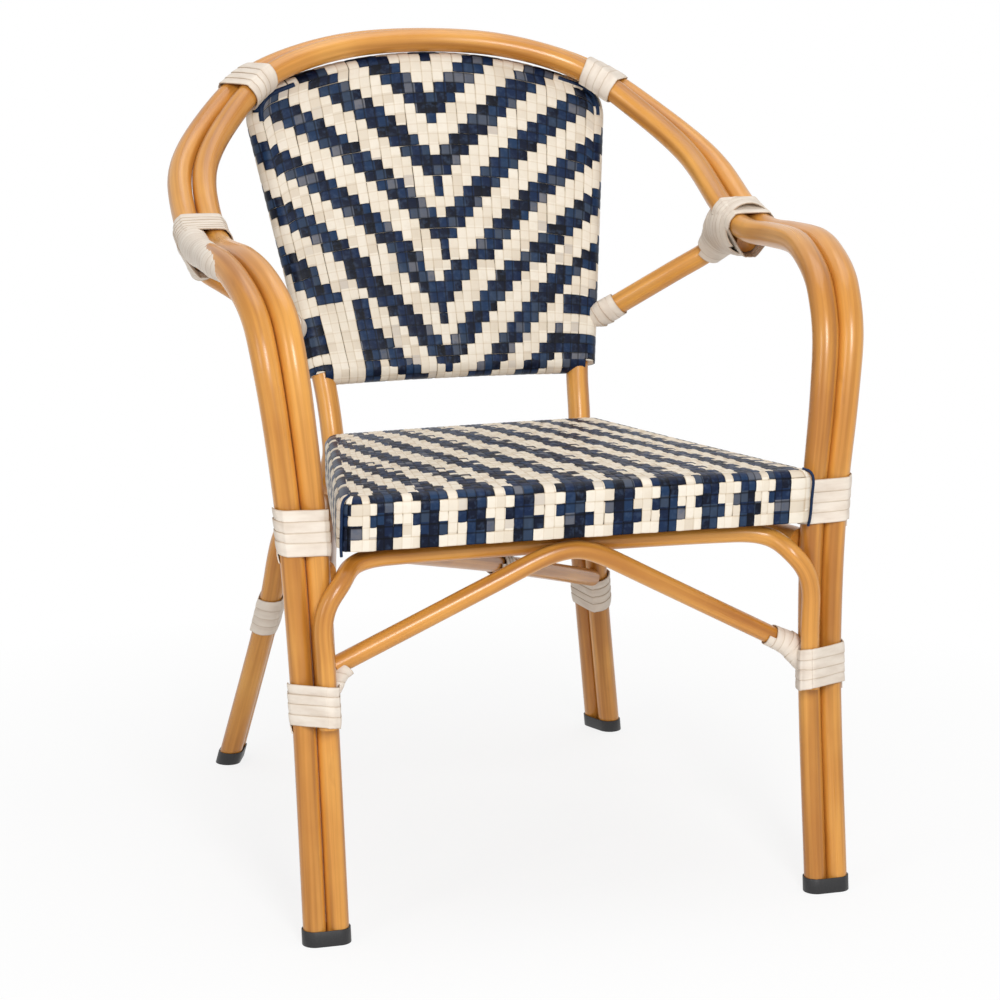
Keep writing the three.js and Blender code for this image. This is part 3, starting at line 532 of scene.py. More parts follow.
def ribbon(name, centres, wide, out, reach, shingle=0.55, crown=0.42):
    """Flat strip along a line: each turn's leading edge lies over the turn before it."""
    count = len(centres)
    across = 7
    clear_selection()
    bpy.ops.mesh.primitive_grid_add(x_subdivisions=across - 1, y_subdivisions=count - 1, size=1)
    piece = bpy.context.object
    piece.name = name
    share = np.linspace(-1, 1, across)
    rng = np.random.default_rng(sum(map(ord, name)))
    sway = np.convolve(rng.normal(0, 1, count + 24), np.ones(25) / 25, "valid")[:count] * 1.1 * MM
    broad = 1 + 0.35 * np.convolve(rng.normal(0, 1, count + 30), np.ones(31) / 31, "valid")[:count]
    lift = MM * (-shingle * share + crown * (1 - share ** 2) + STRIP_LIFT)
    ends = np.minimum(np.arange(count), np.arange(count)[::-1]) / 6
    tuck = -0.5 * MM * np.clip(1 - ends, 0, 1)
    aside = reach * broad[:, None, None] * share[None, :, None] + sway[:, None, None]
    raised = lift[None, :, None] + tuck[:, None, None]
    spots = centres[:, None] + wide[:, None] * aside + out[:, None] * raised
    piece.data.vertices.foreach_set("co", spots.reshape(-1, 3).ravel())
    length = np.concatenate([[0], np.cumsum(np.linalg.norm(np.diff(centres, axis=0), axis=1))])
    seed = sum(map(ord, name)) % 89
    flat = np.broadcast_arrays(length[:, None] + seed, reach * share[None], 0.0 * share[None])
    along = np.stack(flat, -1)
    set_attribute(piece.data, "along", "FLOAT_VECTOR", "POINT", along.reshape(-1, 3))
    set_attribute(piece.data, "side", "FLOAT", "POINT", np.broadcast_to(share[None], (count, across)))
    only(piece)
    bpy.ops.object.mode_set(mode="EDIT")
    bpy.ops.mesh.select_all(action="SELECT")
    bpy.ops.mesh.normals_make_consistent(inside=False)
    bpy.ops.object.mode_set(mode="OBJECT")
    apply_modifier(piece, "SOLIDIFY", thickness=STRIP_THICKNESS * MM, offset=0.0)
    smooth(piece, 45)
    return piece


def sleeve(name, points, radii, pitch, width):
    """A strip wound round a bar along a line of points in millimetres, each with its radius."""
    line = eased(np.array(points, float) * MM, 8)
    length = np.linalg.norm(np.diff(line, axis=0), axis=1).sum()
    turns = length / (pitch * MM)
    count = int(turns * STEPS_PER_TURN) + 1
    line = by_length(line, count)
    radii = np.interp(np.linspace(0, 1, count), np.linspace(0, 1, len(radii)), radii) * MM
    run = np.gradient(line, axis=0)
    run /= np.linalg.norm(run, axis=1)[:, None]
    normal = np.cross(run[0], (0, 0, 1.0))
    normals = []
    for axis in run:
        normal = normal - (normal @ axis) * axis
        normal /= np.linalg.norm(normal)
        normals.append(normal)
    normals = np.array(normals)
    second = np.cross(run, normals)
    angle = (2 * math.pi * turns * np.linspace(0, 1, count))[:, None]
    out = np.cos(angle) * normals + np.sin(angle) * second
    centres = line + out * radii[:, None]
    slope = np.gradient(radii) / np.linalg.norm(np.gradient(line, axis=0), axis=1)
    wide = run + out * slope[:, None]
    wide /= np.linalg.norm(wide, axis=1)[:, None]
    piece = ribbon(name, centres, wide, out, width / 2 * MM, 0.45, 0.35)
    return dress(piece, STRIP, "ivory_strip")


OWN_BINDINGS = (
    "wrap_lambda_end_right", "wrap_lambda_end_left", "wrap_arm_brace_right", "wrap_arm_brace_left")
for node in sorted(n for n in frame["nodes"] if n.startswith("wrap_") and n not in OWN_BINDINGS):
    wound_strip(node)


def joint_bindings():
    """Sleeves where a bar ends on another: they run from the bar into the binding beside it."""
    for side, x, radii in (("right", 1, [16, 20, 26, 30, 31.5, 31.5, 29]),
                           ("left", -1, [14.2, 15.5, 18, 21, 22, 22, 21])):
        sleeve(f"arm_joint_sleeve_{side}",
               [(x * 290, 108, 609), (x * 295, 97, 621), (x * 299, 86, 631.5), (x * 301, 76, 638),
                (x * 302, 62, 640.5), (x * 302, 44, 641), (x * 302, 27, 641)],
               radii, 8.5, 13)
        end = sleeve(f"arm_brace_end_{side}",
                     [(x * 196.5, 158.8, 543.7), (x * 188, 163, 538), (x * 180, 166, 533),
                      (x * 174, 170, 529), (x * 169, 173, 525.5)],
                     [13.2, 13.6, 13.8, 12.5, 9], 8.5, 12)
        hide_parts(f"wrap_arm_brace_{side}")
    strap = sleeve("lambda_strap_left",
                   [(-231, -279, 262), (-236, -281, 258), (-240, -284, 251),
                    (-243, -286, 245)], [8, 7.5, 6.5, 6.5], 8, 11)
    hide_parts("wrap_lambda_end_left")
    collar = sleeve("lambda_collar_right",
                    [(213, -277, 261.5), (223, -277, 256.5), (233, -278, 251),
                     (241, -281, 243), (247, -286, 234)],
                    [10.6, 11.2, 12.4, 13, 12], 8.5, 12.5)
    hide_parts("wrap_lambda_end_right")
    sleeve("arm_sheath_left",
           [(-315.5, 26, 647), (-318, -20, 642), (-320.4, -67.8, 643),
            (-321, -100, 642.5), (-321.2, -130, 641), (-319.5, -150, 639), (-316, -168, 636)],
           [15, 14.8, 14.6, 14.2, 13.9, 13.2, 10.5], 11, 14.5)


joint_bindings()


# Feet

# millimetres by which a foot's edges are rounded
FOOT_ROUND = 0.5


def foot(node):
    """Rubber foot: its CAD cap with rounded edges."""
    clear_selection()
    source = frame["nodes"][node]
    piece = source.copy()
    piece.data = source.data.copy()
    piece.name = node.replace("cap", "shoe")
    bpy.context.scene.collection.objects.link(piece)
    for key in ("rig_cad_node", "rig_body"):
        if key in piece:
            del piece[key]
    piece.parent = None
    only(piece)
    bpy.ops.object.mode_set(mode="EDIT")
    bpy.ops.mesh.select_all(action="SELECT")
    bpy.ops.mesh.remove_doubles(threshold=1e-5)
    bpy.ops.object.mode_set(mode="OBJECT")
    apply_modifier(piece, "BEVEL", width=FOOT_ROUND * MM, segments=2, limit_method="ANGLE",
                   angle_limit=math.radians(35))
    smooth(piece, 40)
    return dress(piece, RUBBER, "foot_rubber", node)


for node in sorted(n for n in frame["nodes"] if n.startswith("foot_cap")):
    foot(node)


# Weaving

# points kept on each edge of a woven surface, and the share stepped along it for a heading
EDGE_COUNT, EDGE_STEP = 961, 0.0015
# millimetres: strand thickness, rise over a crossing, crown of its back, and the crown's ease
STRAND_THICKNESS, STRAND_WAVE, STRAND_CROWN, CROWN_EASE = 0.9, 0.55, 0.35, 0.8
# share by which a strand sinks between two crossings on one side: the seat's navy ones, and all others
NAVY_DIP, USUAL_DIP = 0.45, 0.2


def bow(a, b, c, count):
    """Points on a curve from a to c that b pulls aside."""
    t = np.linspace(0, 1, count)[:, None]
    a, b, c = (np.array(point, float) for point in (a, b, c))
    return (1 - t) ** 2 * a + 2 * t * (1 - t) * b + t * t * c


class Drape:
    """A woven surface: a four-sided flat field that rolls over its edges and runs on."""

    def __init__(self, bottom, top, left, right, roll, turn, columns, rows,
                 spread=((0, 1), (0, 1))):
        self.edges = [by_length(edge, EDGE_COUNT) for edge in (bottom, top, left, right)]
        self.roll, self.turn = roll, turn
        self.columns, self.rows = columns, rows
        self.spread = spread

    def edge(self, k, share):
        at = np.clip(share, 0, 1) * (EDGE_COUNT - 1)
        points = self.edges[k]
        return np.stack([np.interp(at, np.arange(EDGE_COUNT), points[:, axis]) for axis in (0, 1)], -1)

    def outward(self, k, share):
        near = self.edge(k, np.clip(share, 0, 1) - EDGE_STEP)
        far = self.edge(k, np.clip(share, 0, 1) + EDGE_STEP)
        run = far - near
        run /= np.linalg.norm(run, axis=-1, keepdims=True)
        sign = {0: 1, 1: -1, 2: -1, 3: 1}[k]
        return sign * np.stack([run[..., 1], -run[..., 0]], -1)

    def field(self, u, v):
        b, t, l, r = (self.edge(0, u), self.edge(1, u), self.edge(2, v), self.edge(3, v))
        c = [self.edge(0, 0 * u), self.edge(0, 0 * u + 1), self.edge(1, 0 * u), self.edge(1, 0 * u + 1)]
        u, v = u[..., None], v[..., None]
        return ((1 - v) * b + v * t + (1 - u) * l + u * r
                - ((1 - u) * (1 - v) * c[0] + u * (1 - v) * c[1] + (1 - u) * v * c[2] + u * v * c[3]))

    def place(self, column, row, pitch, lift):
        """Point at a column and row, counted in strands, at a height above the middle of the weave."""
        column, row, lift = np.broadcast_arrays(column, row, lift)
        u, v = np.clip(column / self.columns, 0, 1), np.clip(row / self.rows, 0, 1)
        u = np.interp(u, *self.spread)
        base = self.field(u, v)
        over_u = np.where(column < 0, -column, np.maximum(column - self.columns, 0)) * pitch[0]
        over_v = np.where(row < 0, -row, np.maximum(row - self.rows, 0)) * pitch[1]
        side = np.where((column < 0)[..., None], self.outward(2, v), self.outward(3, v))
        end = np.where((row < 0)[..., None], self.outward(0, u), self.outward(1, u))
        heading = np.where((over_u > 0)[..., None], side, end)
        over = np.maximum(over_u, over_v)
        angle = np.minimum(over / self.roll, self.turn)
        rest = np.maximum(over - self.turn * self.roll, 0)
        radius = self.roll + lift
        away = radius * np.sin(angle) + rest * math.cos(self.turn)
        down = -self.roll + radius * np.cos(angle) - rest * math.sin(self.turn)
        flat = base + heading * away[..., None]
        return np.concatenate([flat, down[..., None]], -1)


def weave(name, drape, pitch, spans, above, dyed, to_model):
    """Both families of strands of a woven surface, each as two pieces."""
    made = []
    for family in ("lengthwise", "crosswise"):
        lines = []
        if family == "lengthwise":
            for i in range(*spans["columns"]):
                inside = 0 <= i < drape.columns
                lines.append((i, spans["long"] if inside else (0, drape.rows)))
        else:
            for j in range(*spans["rows"]):
                inside = 0 <= j < drape.rows
                lines.append((j, spans["cross"] if inside else (0, drape.columns)))
        half = len(lines) // 2
        for part, share in (("first", lines[:half]), ("second", lines[half:])):
            made.append(strand_family(
                f"{name}_{family}_{part}", drape, pitch, share, family, above, dyed, to_model))
    return made


def strand_family(name, drape, pitch, lines, family, above, dyed, to_model):
    """Strands that run one way, as one mesh: each weaves over and under those that cross it."""
    long_way = family == "lengthwise"
    steps, across = 5, 5
    rng = np.random.default_rng(sum(map(ord, name)))
    longest = max(int(round(b - a)) for _, (a, b) in lines)
    count = longest * steps + 1
    clear_selection()
    bpy.ops.mesh.primitive_grid_add(x_subdivisions=across * len(lines) - 1, y_subdivisions=count - 1, size=1)
    piece = bpy.context.object
    piece.name = name
    mesh = piece.data
    total = across * len(lines)
    share = np.linspace(-1, 1, across)
    spots = np.zeros((count, total, 3))
    along = np.zeros((count, total, 3))
    step = np.zeros((count, total, 3))
    cells = np.zeros((count - 1, total - 1, 3))
    dyes = np.zeros((count - 1, total - 1))
    for k, (line, (low, high)) in enumerate(lines):
        cut = np.linspace(low, high, count)
        index = np.floor(cut - 1e-9 + (1e-6 if low >= 0 else 0)).astype(int)
        index = np.clip(index, math.floor(low), math.ceil(high) - 1)
        crossed = range(math.floor(low) - 1, math.ceil(high) + 1)
        up = [above(line, j) if long_way else not above(j, line) for j in crossed]
        up = np.array(up, float) * 2 - 1
        here = up[index - math.floor(low) + 1]
        part = cut - index
        before = up[index - math.floor(low)]
        after = up[index - math.floor(low) + 2]
        other = np.where(part < 0.5, before, after)
        near = np.minimum(part, 1 - part) * 2
        ease = np.clip(near / 0.72, 0, 1)
        ease = ease * ease * (3 - 2 * ease)
        first_cell = (line, 0) if long_way else (0, line)
        dip = NAVY_DIP if dyed(*first_cell) else USUAL_DIP
        level = np.where(other != here, here * ease, here * (1 - dip + dip * ease))
        jitter = rng.normal(0, 0.02)
        drift = np.convolve(rng.normal(0, 1, count + 14), np.ones(15) / 15, "valid")[:count] * 0.05
        centre = line + 0.5 + jitter + drift
        width = 0.5 * (1 + rng.normal(0, 0.02))
        pinch = np.where(other != here, 1 - 0.06 * (1 - ease), 1.0)
        place_across = centre[:, None] + width * pinch[:, None] * share[None]
        bulge = STRAND_CROWN * (1 - share[None] ** 2) * np.sign(level[:, None] + 0.01) * CROWN_EASE
        lift = MM * (STRAND_WAVE * level[:, None] + bulge)
        straight = np.broadcast_to(cut[:, None], place_across.shape)
        if long_way:
            flat = drape.place(place_across, straight, pitch, lift)
        else:
            flat = drape.place(straight, place_across, pitch, lift)
        lot = slice(k * across, (k + 1) * across)
        spots[:, lot] = flat
        along[:, lot, 0] = cut[:, None] * pitch[1 if long_way else 0] + 0.61 * line + (3.3 if long_way else 0)
        along[:, lot, 1] = share[None] * 0.5 * pitch[0 if long_way else 1]
        along[:, lot, 2] = 0.013 * line
        step[:, lot, 0] = cut[:, None]
        step[:, lot, 1] = share[None]
        step[:, lot, 2] = level[:, None]
        mid = index[:-1]
        tint = np.array([dyed(line, j) if long_way else dyed(j, line) for j in mid], float)
        dyes[:, k * across:(k + 1) * across - 1] = tint[:, None]
        cells[:, k * across:(k + 1) * across - 1, 0] = line + 0.5
        cells[:, k * across:(k + 1) * across - 1, 1] = mid[:, None] + 0.5
        cells[:, k * across:(k + 1) * across - 1, 2] = 7.5 if long_way else 2.5
    world = to_model(spots.reshape(-1, 3))
    mesh.vertices.foreach_set("co", world.ravel())
    set_attribute(mesh, "along", "FLOAT_VECTOR", "POINT", along.reshape(-1, 3))
    set_attribute(mesh, "step", "FLOAT_VECTOR", "POINT", step.reshape(-1, 3))
    set_attribute(mesh, "cell", "FLOAT_VECTOR", "FACE", cells.reshape(-1, 3))
    set_attribute(mesh, "dye", "FLOAT", "FACE", dyes.ravel())
    bridge = np.zeros((count - 1, total - 1), bool)
    bridge[:, across - 1::across] = True
    only(piece)
    bpy.ops.object.mode_set(mode="EDIT")
    bpy.ops.mesh.select_all(action="DESELECT")
    bpy.ops.object.mode_set(mode="OBJECT")
    mesh.polygons.foreach_set("select", bridge.ravel())
    bpy.ops.object.mode_set(mode="EDIT")
    bpy.ops.mesh.select_mode(type="FACE")
    bpy.ops.mesh.delete(type="ONLY_FACE")
    bpy.ops.mesh.select_all(action="SELECT")
    bpy.ops.mesh.delete_loose(use_verts=True, use_edges=True, use_faces=False)
    bpy.ops.object.mode_set(mode="OBJECT")
    apply_modifier(piece, "SOLIDIFY", thickness=STRAND_THICKNESS * MM, offset=0.0)
    smooth(piece, 60)
    return piece


# back panel, in its own plane: across, up, and depth in front of the sheet
PANEL_FOOT = (0, 457 + SHIFT_Y, 473)
PANEL_LEAN = math.atan(0.3878)
FOOT_HALF, CORNER_HALF, PANEL_HEIGHT = 164.8, 215, 383
CORNER_SHARE, SIDE_SHARE, TOP_SHARES = 0.868, 0.774, (0.86, 0.905)
PANEL_ROLL = 15.3
PANEL_ASIDE, PANEL_ARCH = 2.8, 2.5
# slope of the panel's sides at its foot, radians that its strands roll over, and its strands each way
PANEL_SLANT, PANEL_WRAP = 0.1515, 5.9
PANEL_COLUMNS, PANEL_ROWS = 33, 29
# points on each stretch of its outline, and the middle of a woven sheet below its face
OUTLINE_POINTS = 30
SHEET_MIDDLE = 1.2


def panel_half(height):
    return FOOT_HALF + height * (CORNER_HALF - FOOT_HALF) / (CORNER_SHARE * PANEL_HEIGHT)


def panel_edge(inset):
    side = SIDE_SHARE * PANEL_HEIGHT
    corner = (CORNER_HALF, CORNER_SHARE * PANEL_HEIGHT)
    top = (TOP_SHARES[0] * CORNER_HALF, TOP_SHARES[1] * PANEL_HEIGHT)
    crown = (0, 2 * PANEL_HEIGHT - top[1])
    right = np.linspace((FOOT_HALF, 0), (panel_half(side), side), OUTLINE_POINTS)[:-1]
    bend = bow((panel_half(side), side), corner, top, OUTLINE_POINTS)[:-1]
    arch = bow(top, crown, (-top[0], top[1]), 2 * OUTLINE_POINTS)
    half = np.vstack([right, bend, arch[:OUTLINE_POINTS]])
    run = np.gradient(half, axis=0)
    run /= np.linalg.norm(run, axis=1)[:, None]
    moved = np.stack([half[:, 0] - run[:, 1] * inset, half[:, 1] + run[:, 0] * inset], 1)
    moved[0] = (panel_half(inset) - inset * math.hypot(1, PANEL_SLANT), inset)
    return moved


def back_drape():
    line = panel_edge(PANEL_ROLL)
    turn = OUTLINE_POINTS - 1 + OUTLINE_POINTS // 2
    right = line[:turn + 1]
    rest = line[turn:]
    rest = rest[rest[:, 0] > 0]
    mirrored = lambda points: points * np.array([-1, 1])
    crown = np.array([[0, PANEL_HEIGHT - PANEL_ROLL]])
    top = np.vstack([mirrored(rest), crown, rest[::-1]])
    across = np.linspace(-1, 1, 41)
    bottom = np.stack([across * right[0, 0], right[0, 1] + PANEL_ARCH * (1 - across ** 2)], 1)
    roll = PANEL_ROLL - SHEET_MIDDLE
    return Drape(bottom * MM, top * MM, mirrored(right) * MM, right * MM, roll * MM, PANEL_WRAP,
                 PANEL_COLUMNS, PANEL_ROWS)


def panel_to_model(spots):
    angle = math.pi / 2 - PANEL_LEAN
    y = spots[:, 1] * math.cos(angle) - (spots[:, 2] - SHEET_MIDDLE * MM) * math.sin(angle)
    z = spots[:, 1] * math.sin(angle) + (spots[:, 2] - SHEET_MIDDLE * MM) * math.cos(angle)
    return np.stack([spots[:, 0] + PANEL_ASIDE * MM, y + PANEL_FOOT[1] * MM, z + PANEL_FOOT[2] * MM], 1)


BACK_PITCH = (10.7 * MM, 11.8 * MM)
# rows where a navy point is one row longer, and the row up to which the chevrons stand one column left
LONG_TIPS = (16, 10, 4)
AXIS_SHIFT_ROW = 9


def navy_cell(i, j):
    """Chevrons of navy, three rows in six, with one row more at the lower points and plain lower corners."""
    if j <= 6 and i >= 30:
        return j >= 5 or j <= 2
    if j <= 6 and i <= 6:
        return i >= 5 or (i <= 0 and j not in (1, 6))
    reach = abs(i - (15 if j <= AXIS_SHIFT_ROW else 16))
    return (reach + 25 - j) % 6 < 3 or (reach == 0 and j in LONG_TIPS)


def weave_back():
    drape = back_drape()
    wide, deep = (-7, PANEL_COLUMNS + 7), (-6, PANEL_ROWS + 6)
    spans = {"columns": wide, "rows": deep, "long": deep, "cross": wide}
    strands = weave("back_strands", drape, BACK_PITCH, spans, lambda i, j: not navy_cell(i, j),
                    lambda i, j: 0.0, panel_to_model)
    for crosswise in strands[2:]:
        navy = crosswise.data.attributes["dye"]
        navy.data.foreach_set("value", np.ones(len(navy.data), np.float32))
    for piece in strands:
        dress(piece, STRAND, "weave")
    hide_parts("back_weave")


# seat, in its own plane: across, depth from the front edge, and height
SEAT_FRONT = (0, 14 + SHIFT_Y, 435)
SEAT_TILT = math.atan(0.0349)
SEAT_DEPTH, SEAT_FRONT_HALF, SEAT_REAR_HALF = 422, 247.5, 157
SEAT_THICKNESS, SEAT_CORNER, SEAT_ROLL, SEAT_LEAN = 61, 20, 12, 9
SEAT_CROWN, SEAT_RISE, SEAT_ASIDE = 5, 4.5, 5
SEAT_COLUMNS, SEAT_ROWS = 53, 34
# points on each rounded corner of the seat
CORNER_POINTS = 21
# where some of the gaps between the lengthwise strands lie along the front
GAP_COLUMNS = (0, 1, 4, 5, 10, 15, 20, 25, 30, 35, 40, 45, 50, 51, 52, 53)
GAP_PLACES = (-233, -231.8, -210.5, -203, -158, -111, -63, -10, 41, 88, 132, 172, 208,
              217.5, 230.5, 233)


def seat_half(depth):
    return SEAT_FRONT_HALF + (SEAT_REAR_HALF - SEAT_FRONT_HALF) * depth / SEAT_DEPTH


def seat_drape():
    inset = SEAT_ROLL
    corner = SEAT_CORNER - inset
    front = seat_half(inset) - inset
    rear = seat_half(SEAT_DEPTH - inset) - inset
    far = SEAT_DEPTH - inset
    side_at = lambda depth: seat_half(depth) - inset
    near_bend = bow((front - corner, inset), (front, inset), (side_at(inset + corner), inset + corner),
                    CORNER_POINTS)
    far_bend = bow((side_at(far - corner), far - corner), (rear, far), (rear - corner, far), CORNER_POINTS)
    middle = CORNER_POINTS // 2
    right = np.vstack([near_bend[middle:], far_bend[:middle + 1]])
    bottom_half = np.vstack([[(0, inset)], near_bend[:middle + 1]])
    top_half = np.vstack([[(0, far)], far_bend[middle:][::-1]])
    mirrored = lambda points: points * np.array([-1, 1])
    bottom = np.vstack([mirrored(bottom_half)[::-1][:-1], bottom_half])
    top = np.vstack([mirrored(top_half)[::-1][:-1], top_half])
    roll = SEAT_ROLL - SHEET_MIDDLE
    places = np.array(GAP_PLACES)
    spread = (np.array(GAP_COLUMNS) / SEAT_COLUMNS, (places - places[0]) / (places[-1] - places[0]))
    return Drape(bottom * MM, top * MM, mirrored(right) * MM, right * MM, roll * MM, math.pi / 2,
                 SEAT_COLUMNS, SEAT_ROWS, spread)


def seat_to_model(spots):
    back = spots[:, 1] / (SEAT_DEPTH * MM)
    within = np.clip(back, 0, 1)
    drop = -(spots[:, 2] - SHEET_MIDDLE * MM) / (SEAT_THICKNESS * MM)
    depth = spots[:, 1] + SEAT_LEAN * MM * drop * (1 - back)
    half = SEAT_FRONT_HALF + (SEAT_REAR_HALF - SEAT_FRONT_HALF) * within
    swell = np.clip(1 - (spots[:, 0] / (half * MM)) ** 2, 0, 1) * np.clip(1 - (back * 2 - 1) ** 4, 0, 1)
    height = spots[:, 2] - SHEET_MIDDLE * MM + SEAT_CROWN * MM * swell
    height += SEAT_RISE * MM * within ** 2 * np.clip(0.5 + spots[:, 0] / (2 * half * MM), 0, 1)
    y = depth * math.cos(-SEAT_TILT) - height * math.sin(-SEAT_TILT)
    z = depth * math.sin(-SEAT_TILT) + height * math.cos(-SEAT_TILT)
    x = spots[:, 0] + SEAT_ASIDE * MM * (1 - within)
    return np.stack([x, y + SEAT_FRONT[1] * MM, z + SEAT_FRONT[2] * MM], 1)


SEAT_PITCH = (9.3 * MM, 11.7 * MM)
# how much the seat narrows, the stripes' drift for each row, and their width on even and odd rows
SEAT_NARROWING, STRIPE_DRIFT, STRIPE_WIDTHS = 0.3, 0.27, (2.1, 2.9)
# front face from the lower edge up: dyes of the five strands of one repeat, then which lie on top
FACE_DYES = ["NNIII", "NNNII", "NNIIN", "NNIII", "NNNIN"]
FACE_ABOVE = ["11000", "11011", "11110", "11000", "00010"]
# rows of a face, strands in a repeat, and where the repeat starts on the front and on the sides
FACE_ROWS, REPEAT, FRONT_START, SIDE_START = 5, 5, 1, 3


def side_row(i):
    """Row of a side face, from the lower edge up, or None on the seat's top."""
    past = -i if i < 0 else i - SEAT_COLUMNS + 1
    return max(FACE_ROWS - past, 0) if past > 0 else None


def seat_above(i, j):
    if j < 0:
        k = FACE_ROWS + j
        if 0 <= k < FACE_ROWS:
            return FACE_ABOVE[k][(i + FRONT_START) % REPEAT] == "1"
    k = side_row(i)
    if k is not None:
        return FACE_ABOVE[k][(j + SIDE_START) % REPEAT] == "0"
    return (i + j) % 2 == 0


def seat_dye(i, j):
    if j < 0:
        k = max(FACE_ROWS + j, 0)
        if i <= 0 or i >= SEAT_COLUMNS - 2:
            return 1.0 if i <= 0 and k < 4 else 0.0
        return 1.0 if FACE_DYES[k][(i + FRONT_START) % REPEAT] == "N" else 0.0
    k = side_row(i)
    if k is not None:
        return 1.0 if FACE_DYES[k][(j + SIDE_START) % REPEAT] == "N" else 0.0
    width = 1 - SEAT_NARROWING * min(max(j, 0), SEAT_ROWS) / SEAT_ROWS
    middle = SEAT_COLUMNS / 2
    x = (i - middle) * width
    phase = (x + middle + 1 + STRIPE_DRIFT * j) % REPEAT
    return 1.0 if phase < STRIPE_WIDTHS[j % 2] else 0.0


def weave_seat():
    drape = seat_drape()
    wide, deep = (-6, SEAT_COLUMNS + 6), (-5, SEAT_ROWS + 5)
    spans = {"columns": wide, "rows": deep, "long": deep, "cross": wide}
    strands = weave("seat_strands", drape, SEAT_PITCH, spans, seat_above, seat_dye, seat_to_model)
    for piece in strands:
        dress(piece, STRAND, "weave")
    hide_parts("seat_weave")


def navy_cord(name, points, radius):
    """Thin navy cord through points in millimetres."""
    line = eased(np.array(points, float) * MM, 6)
    piece = tube_piece(name, line, np.full(len(line), radius * MM), 3)
    count = len(piece.data.vertices)
    set_attribute(piece.data, "dye", "FLOAT", "POINT", np.ones(count))
    set_attribute(piece.data, "step", "FLOAT_VECTOR", "POINT", np.tile([0.5, 0, 1.0], (count, 1)))
    return dress(piece, STRAND, "weave")


# inset and height of the cord where the seat's front turns into its side
SEAT_CORD = ((9, 434.8), (3, 432.2), (0, 424), (0, 405), (0, 387), (1, 375.5))
# millimetres: how far out and how far forward that cord stands, and its radius
SEAT_CORD_HALF, SEAT_CORD_FRONT, SEAT_CORD_RADIUS = 241.9, -298.6, 1.5
# millimetres: where the back's cords begin across and up the panel, their lift on it, and their radii
BACK_CORD_START, BACK_CORD_LIFT = (140, 300), 0.2
BACK_CORD_RADII = {"right": 2.3, "left": 2.9}


def edge_cords():
    """Navy cord along the rounded top corners of the back and down the seat's front corners."""
    for side, x, inset in (("right", 1, 10.5), ("left", -1, 14)):
        edge = panel_edge(inset)
        edge = edge[(edge[:, 1] > BACK_CORD_START[1]) & (edge[:, 0] > BACK_CORD_START[0])][::4]
        flat = np.stack([edge[:, 0] * x, edge[:, 1], np.full(len(edge), BACK_CORD_LIFT)], 1) * MM
        navy_cord(f"back_corner_cord_{side}", panel_to_model(flat) / MM, BACK_CORD_RADII[side])
        down = [(SEAT_ASIDE + x * (SEAT_CORD_HALF - inset),
                 SEAT_CORD_FRONT + inset + SEAT_LEAN * (SEAT_FRONT[2] - z) / SEAT_THICKNESS, z)
                for inset, z in SEAT_CORD]
        navy_cord(f"seat_corner_cord_{side}", down, SEAT_CORD_RADIUS)


weave_back()
weave_seat()
edge_cords()


# Camera, floor and light

# camera: sensor and lens in millimetres, place in metres, and the way that it looks
SENSOR, LENS = 36, 98.94
CAMERA_PLACE = (-0.8293, -2.4662 + SHIFT_Y * MM, 0.9618)
CAMERA_AIM = (0.2824, 0.9376, -0.2030)


def camera():
    data = bpy.data.cameras.new("camera")
    piece = bpy.data.objects.new("camera", data)
    bpy.context.scene.collection.objects.link(piece)
    data.sensor_width = SENSOR
    data.lens = LENS
    data.clip_start, data.clip_end = 0.05, 100
    piece.location = CAMERA_PLACE
    piece.rotation_mode = "QUATERNION"
    piece.rotation_quaternion = Vector(CAMERA_AIM).to_track_quat("-Z", "Y")
    bpy.context.scene.camera = piece


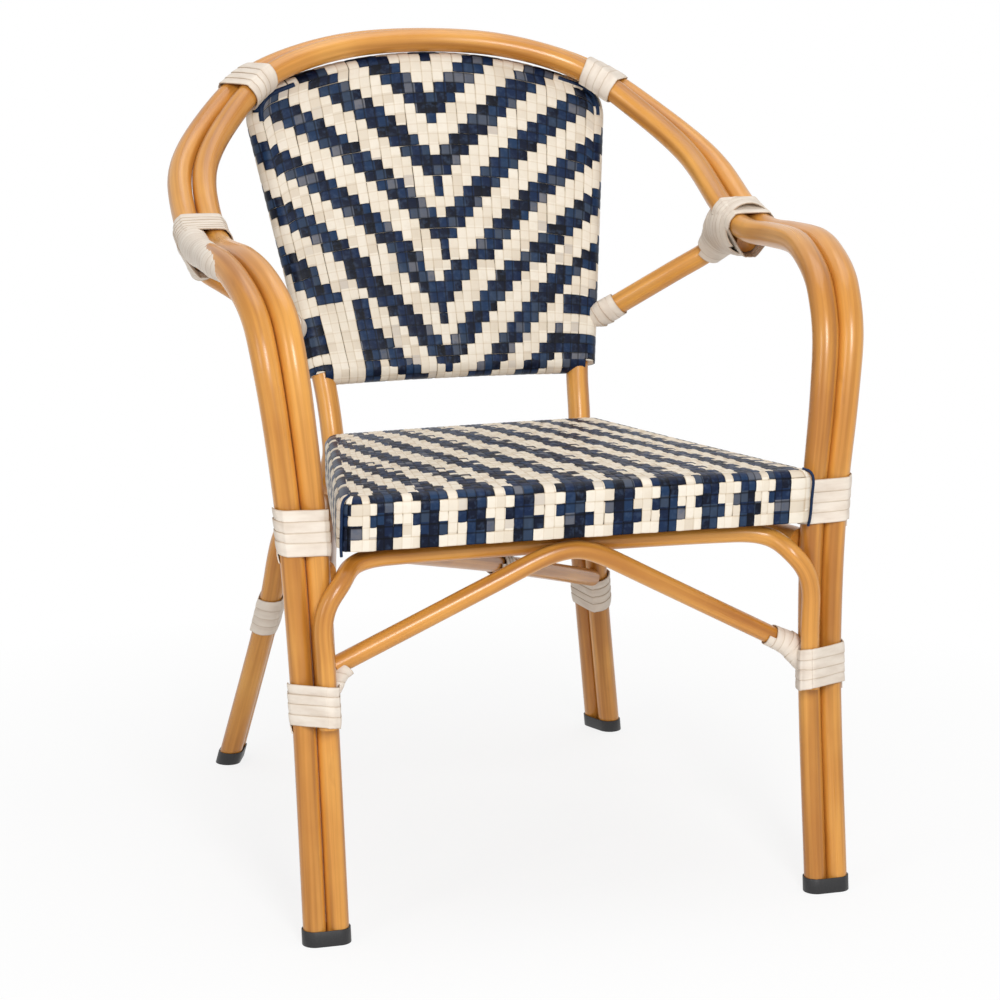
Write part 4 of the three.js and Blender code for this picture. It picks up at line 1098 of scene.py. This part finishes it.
def floor():
    clear_selection()
    bpy.ops.mesh.primitive_plane_add(size=24, location=(0, 0, 0))
    piece = bpy.context.object
    piece.name = "floor"
    material, nodes, links, shader = new_material("pale_floor", (0.93, 0.93, 0.93), 0.9)
    shader.inputs["Specular IOR Level"].default_value = 0.0
    place = nodes.new("ShaderNodeTexCoord").outputs["Object"]
    length = nodes.new("ShaderNodeVectorMath")
    length.operation = "LENGTH"
    links.new(place, length.inputs[0])
    reach = math_node(nodes, links, "MULTIPLY", length.outputs["Value"], 0.5)
    far = ramp(nodes, links, reach, [(0.12, (0.8, 0.8, 0.8)), (0.5, (1, 1, 1))])
    rays = nodes.new("ShaderNodeLightPath")
    seen = math_node(nodes, links, "MAXIMUM", rays.outputs["Is Camera Ray"], rays.outputs["Is Glossy Ray"])
    seen = math_node(nodes, links, "MAXIMUM", seen, rays.outputs["Is Transmission Ray"])
    factor = math_node(nodes, links, "MULTIPLY", far, seen)
    glow = nodes.new("ShaderNodeEmission")
    glow.inputs["Color"].default_value = (1, 1, 1, 1)
    mixer = nodes.new("ShaderNodeMixShader")
    links.new(factor, mixer.inputs["Fac"])
    links.new(shader.outputs["BSDF"], mixer.inputs[1])
    links.new(glow.outputs["Emission"], mixer.inputs[2])
    links.new(mixer.outputs["Shader"], nodes["Material Output"].inputs["Surface"])
    piece.data.materials.append(material)


def lamp(name, place, target, size, power):
    data = bpy.data.lights.new(name, "AREA")
    data.shape = "RECTANGLE"
    data.size, data.size_y = size
    data.energy = power
    piece = bpy.data.objects.new(name, data)
    bpy.context.scene.collection.objects.link(piece)
    piece.location = place
    piece.rotation_mode = "QUATERNION"
    piece.rotation_quaternion = (Vector(target) - Vector(place)).to_track_quat("-Z", "Y")


def light():
    world = bpy.data.worlds.new("world")
    bpy.context.scene.world = world
    world.use_nodes = True
    nodes, links = world.node_tree.nodes, world.node_tree.links
    rays = nodes.new("ShaderNodeLightPath")
    soft, plain = nodes["Background"], nodes.new("ShaderNodeBackground")
    soft.inputs["Color"].default_value = (1, 1, 1, 1)
    soft.inputs["Strength"].default_value = 0.40
    plain.inputs["Color"].default_value = (1, 1, 1, 1)
    plain.inputs["Strength"].default_value = 1.0
    mixer = nodes.new("ShaderNodeMixShader")
    seen = math_node(nodes, links, "MAXIMUM", rays.outputs["Is Camera Ray"], rays.outputs["Is Glossy Ray"])
    seen = math_node(nodes, links, "MAXIMUM", seen, rays.outputs["Is Transmission Ray"])
    links.new(seen, mixer.inputs["Fac"])
    links.new(soft.outputs["Background"], mixer.inputs[1])
    links.new(plain.outputs["Background"], mixer.inputs[2])
    links.new(mixer.outputs["Shader"], nodes["World Output"].inputs["Surface"])
    lamp("key", (-0.2, -3.0, 1.9), (0, 0, 0.45), (0.7, 1.1), 56)
    lamp("fill", (-2.6, -1.9, 1.5), (0, 0, 0.45), (0.8, 1.2), 14)
    lamp("top", (0.2, 0.2, 3.0), (0, 0, 0.3), (2.0, 2.0), 24)


camera()
floor()
light()
bpy.context.scene.view_settings.view_transform = "Standard"
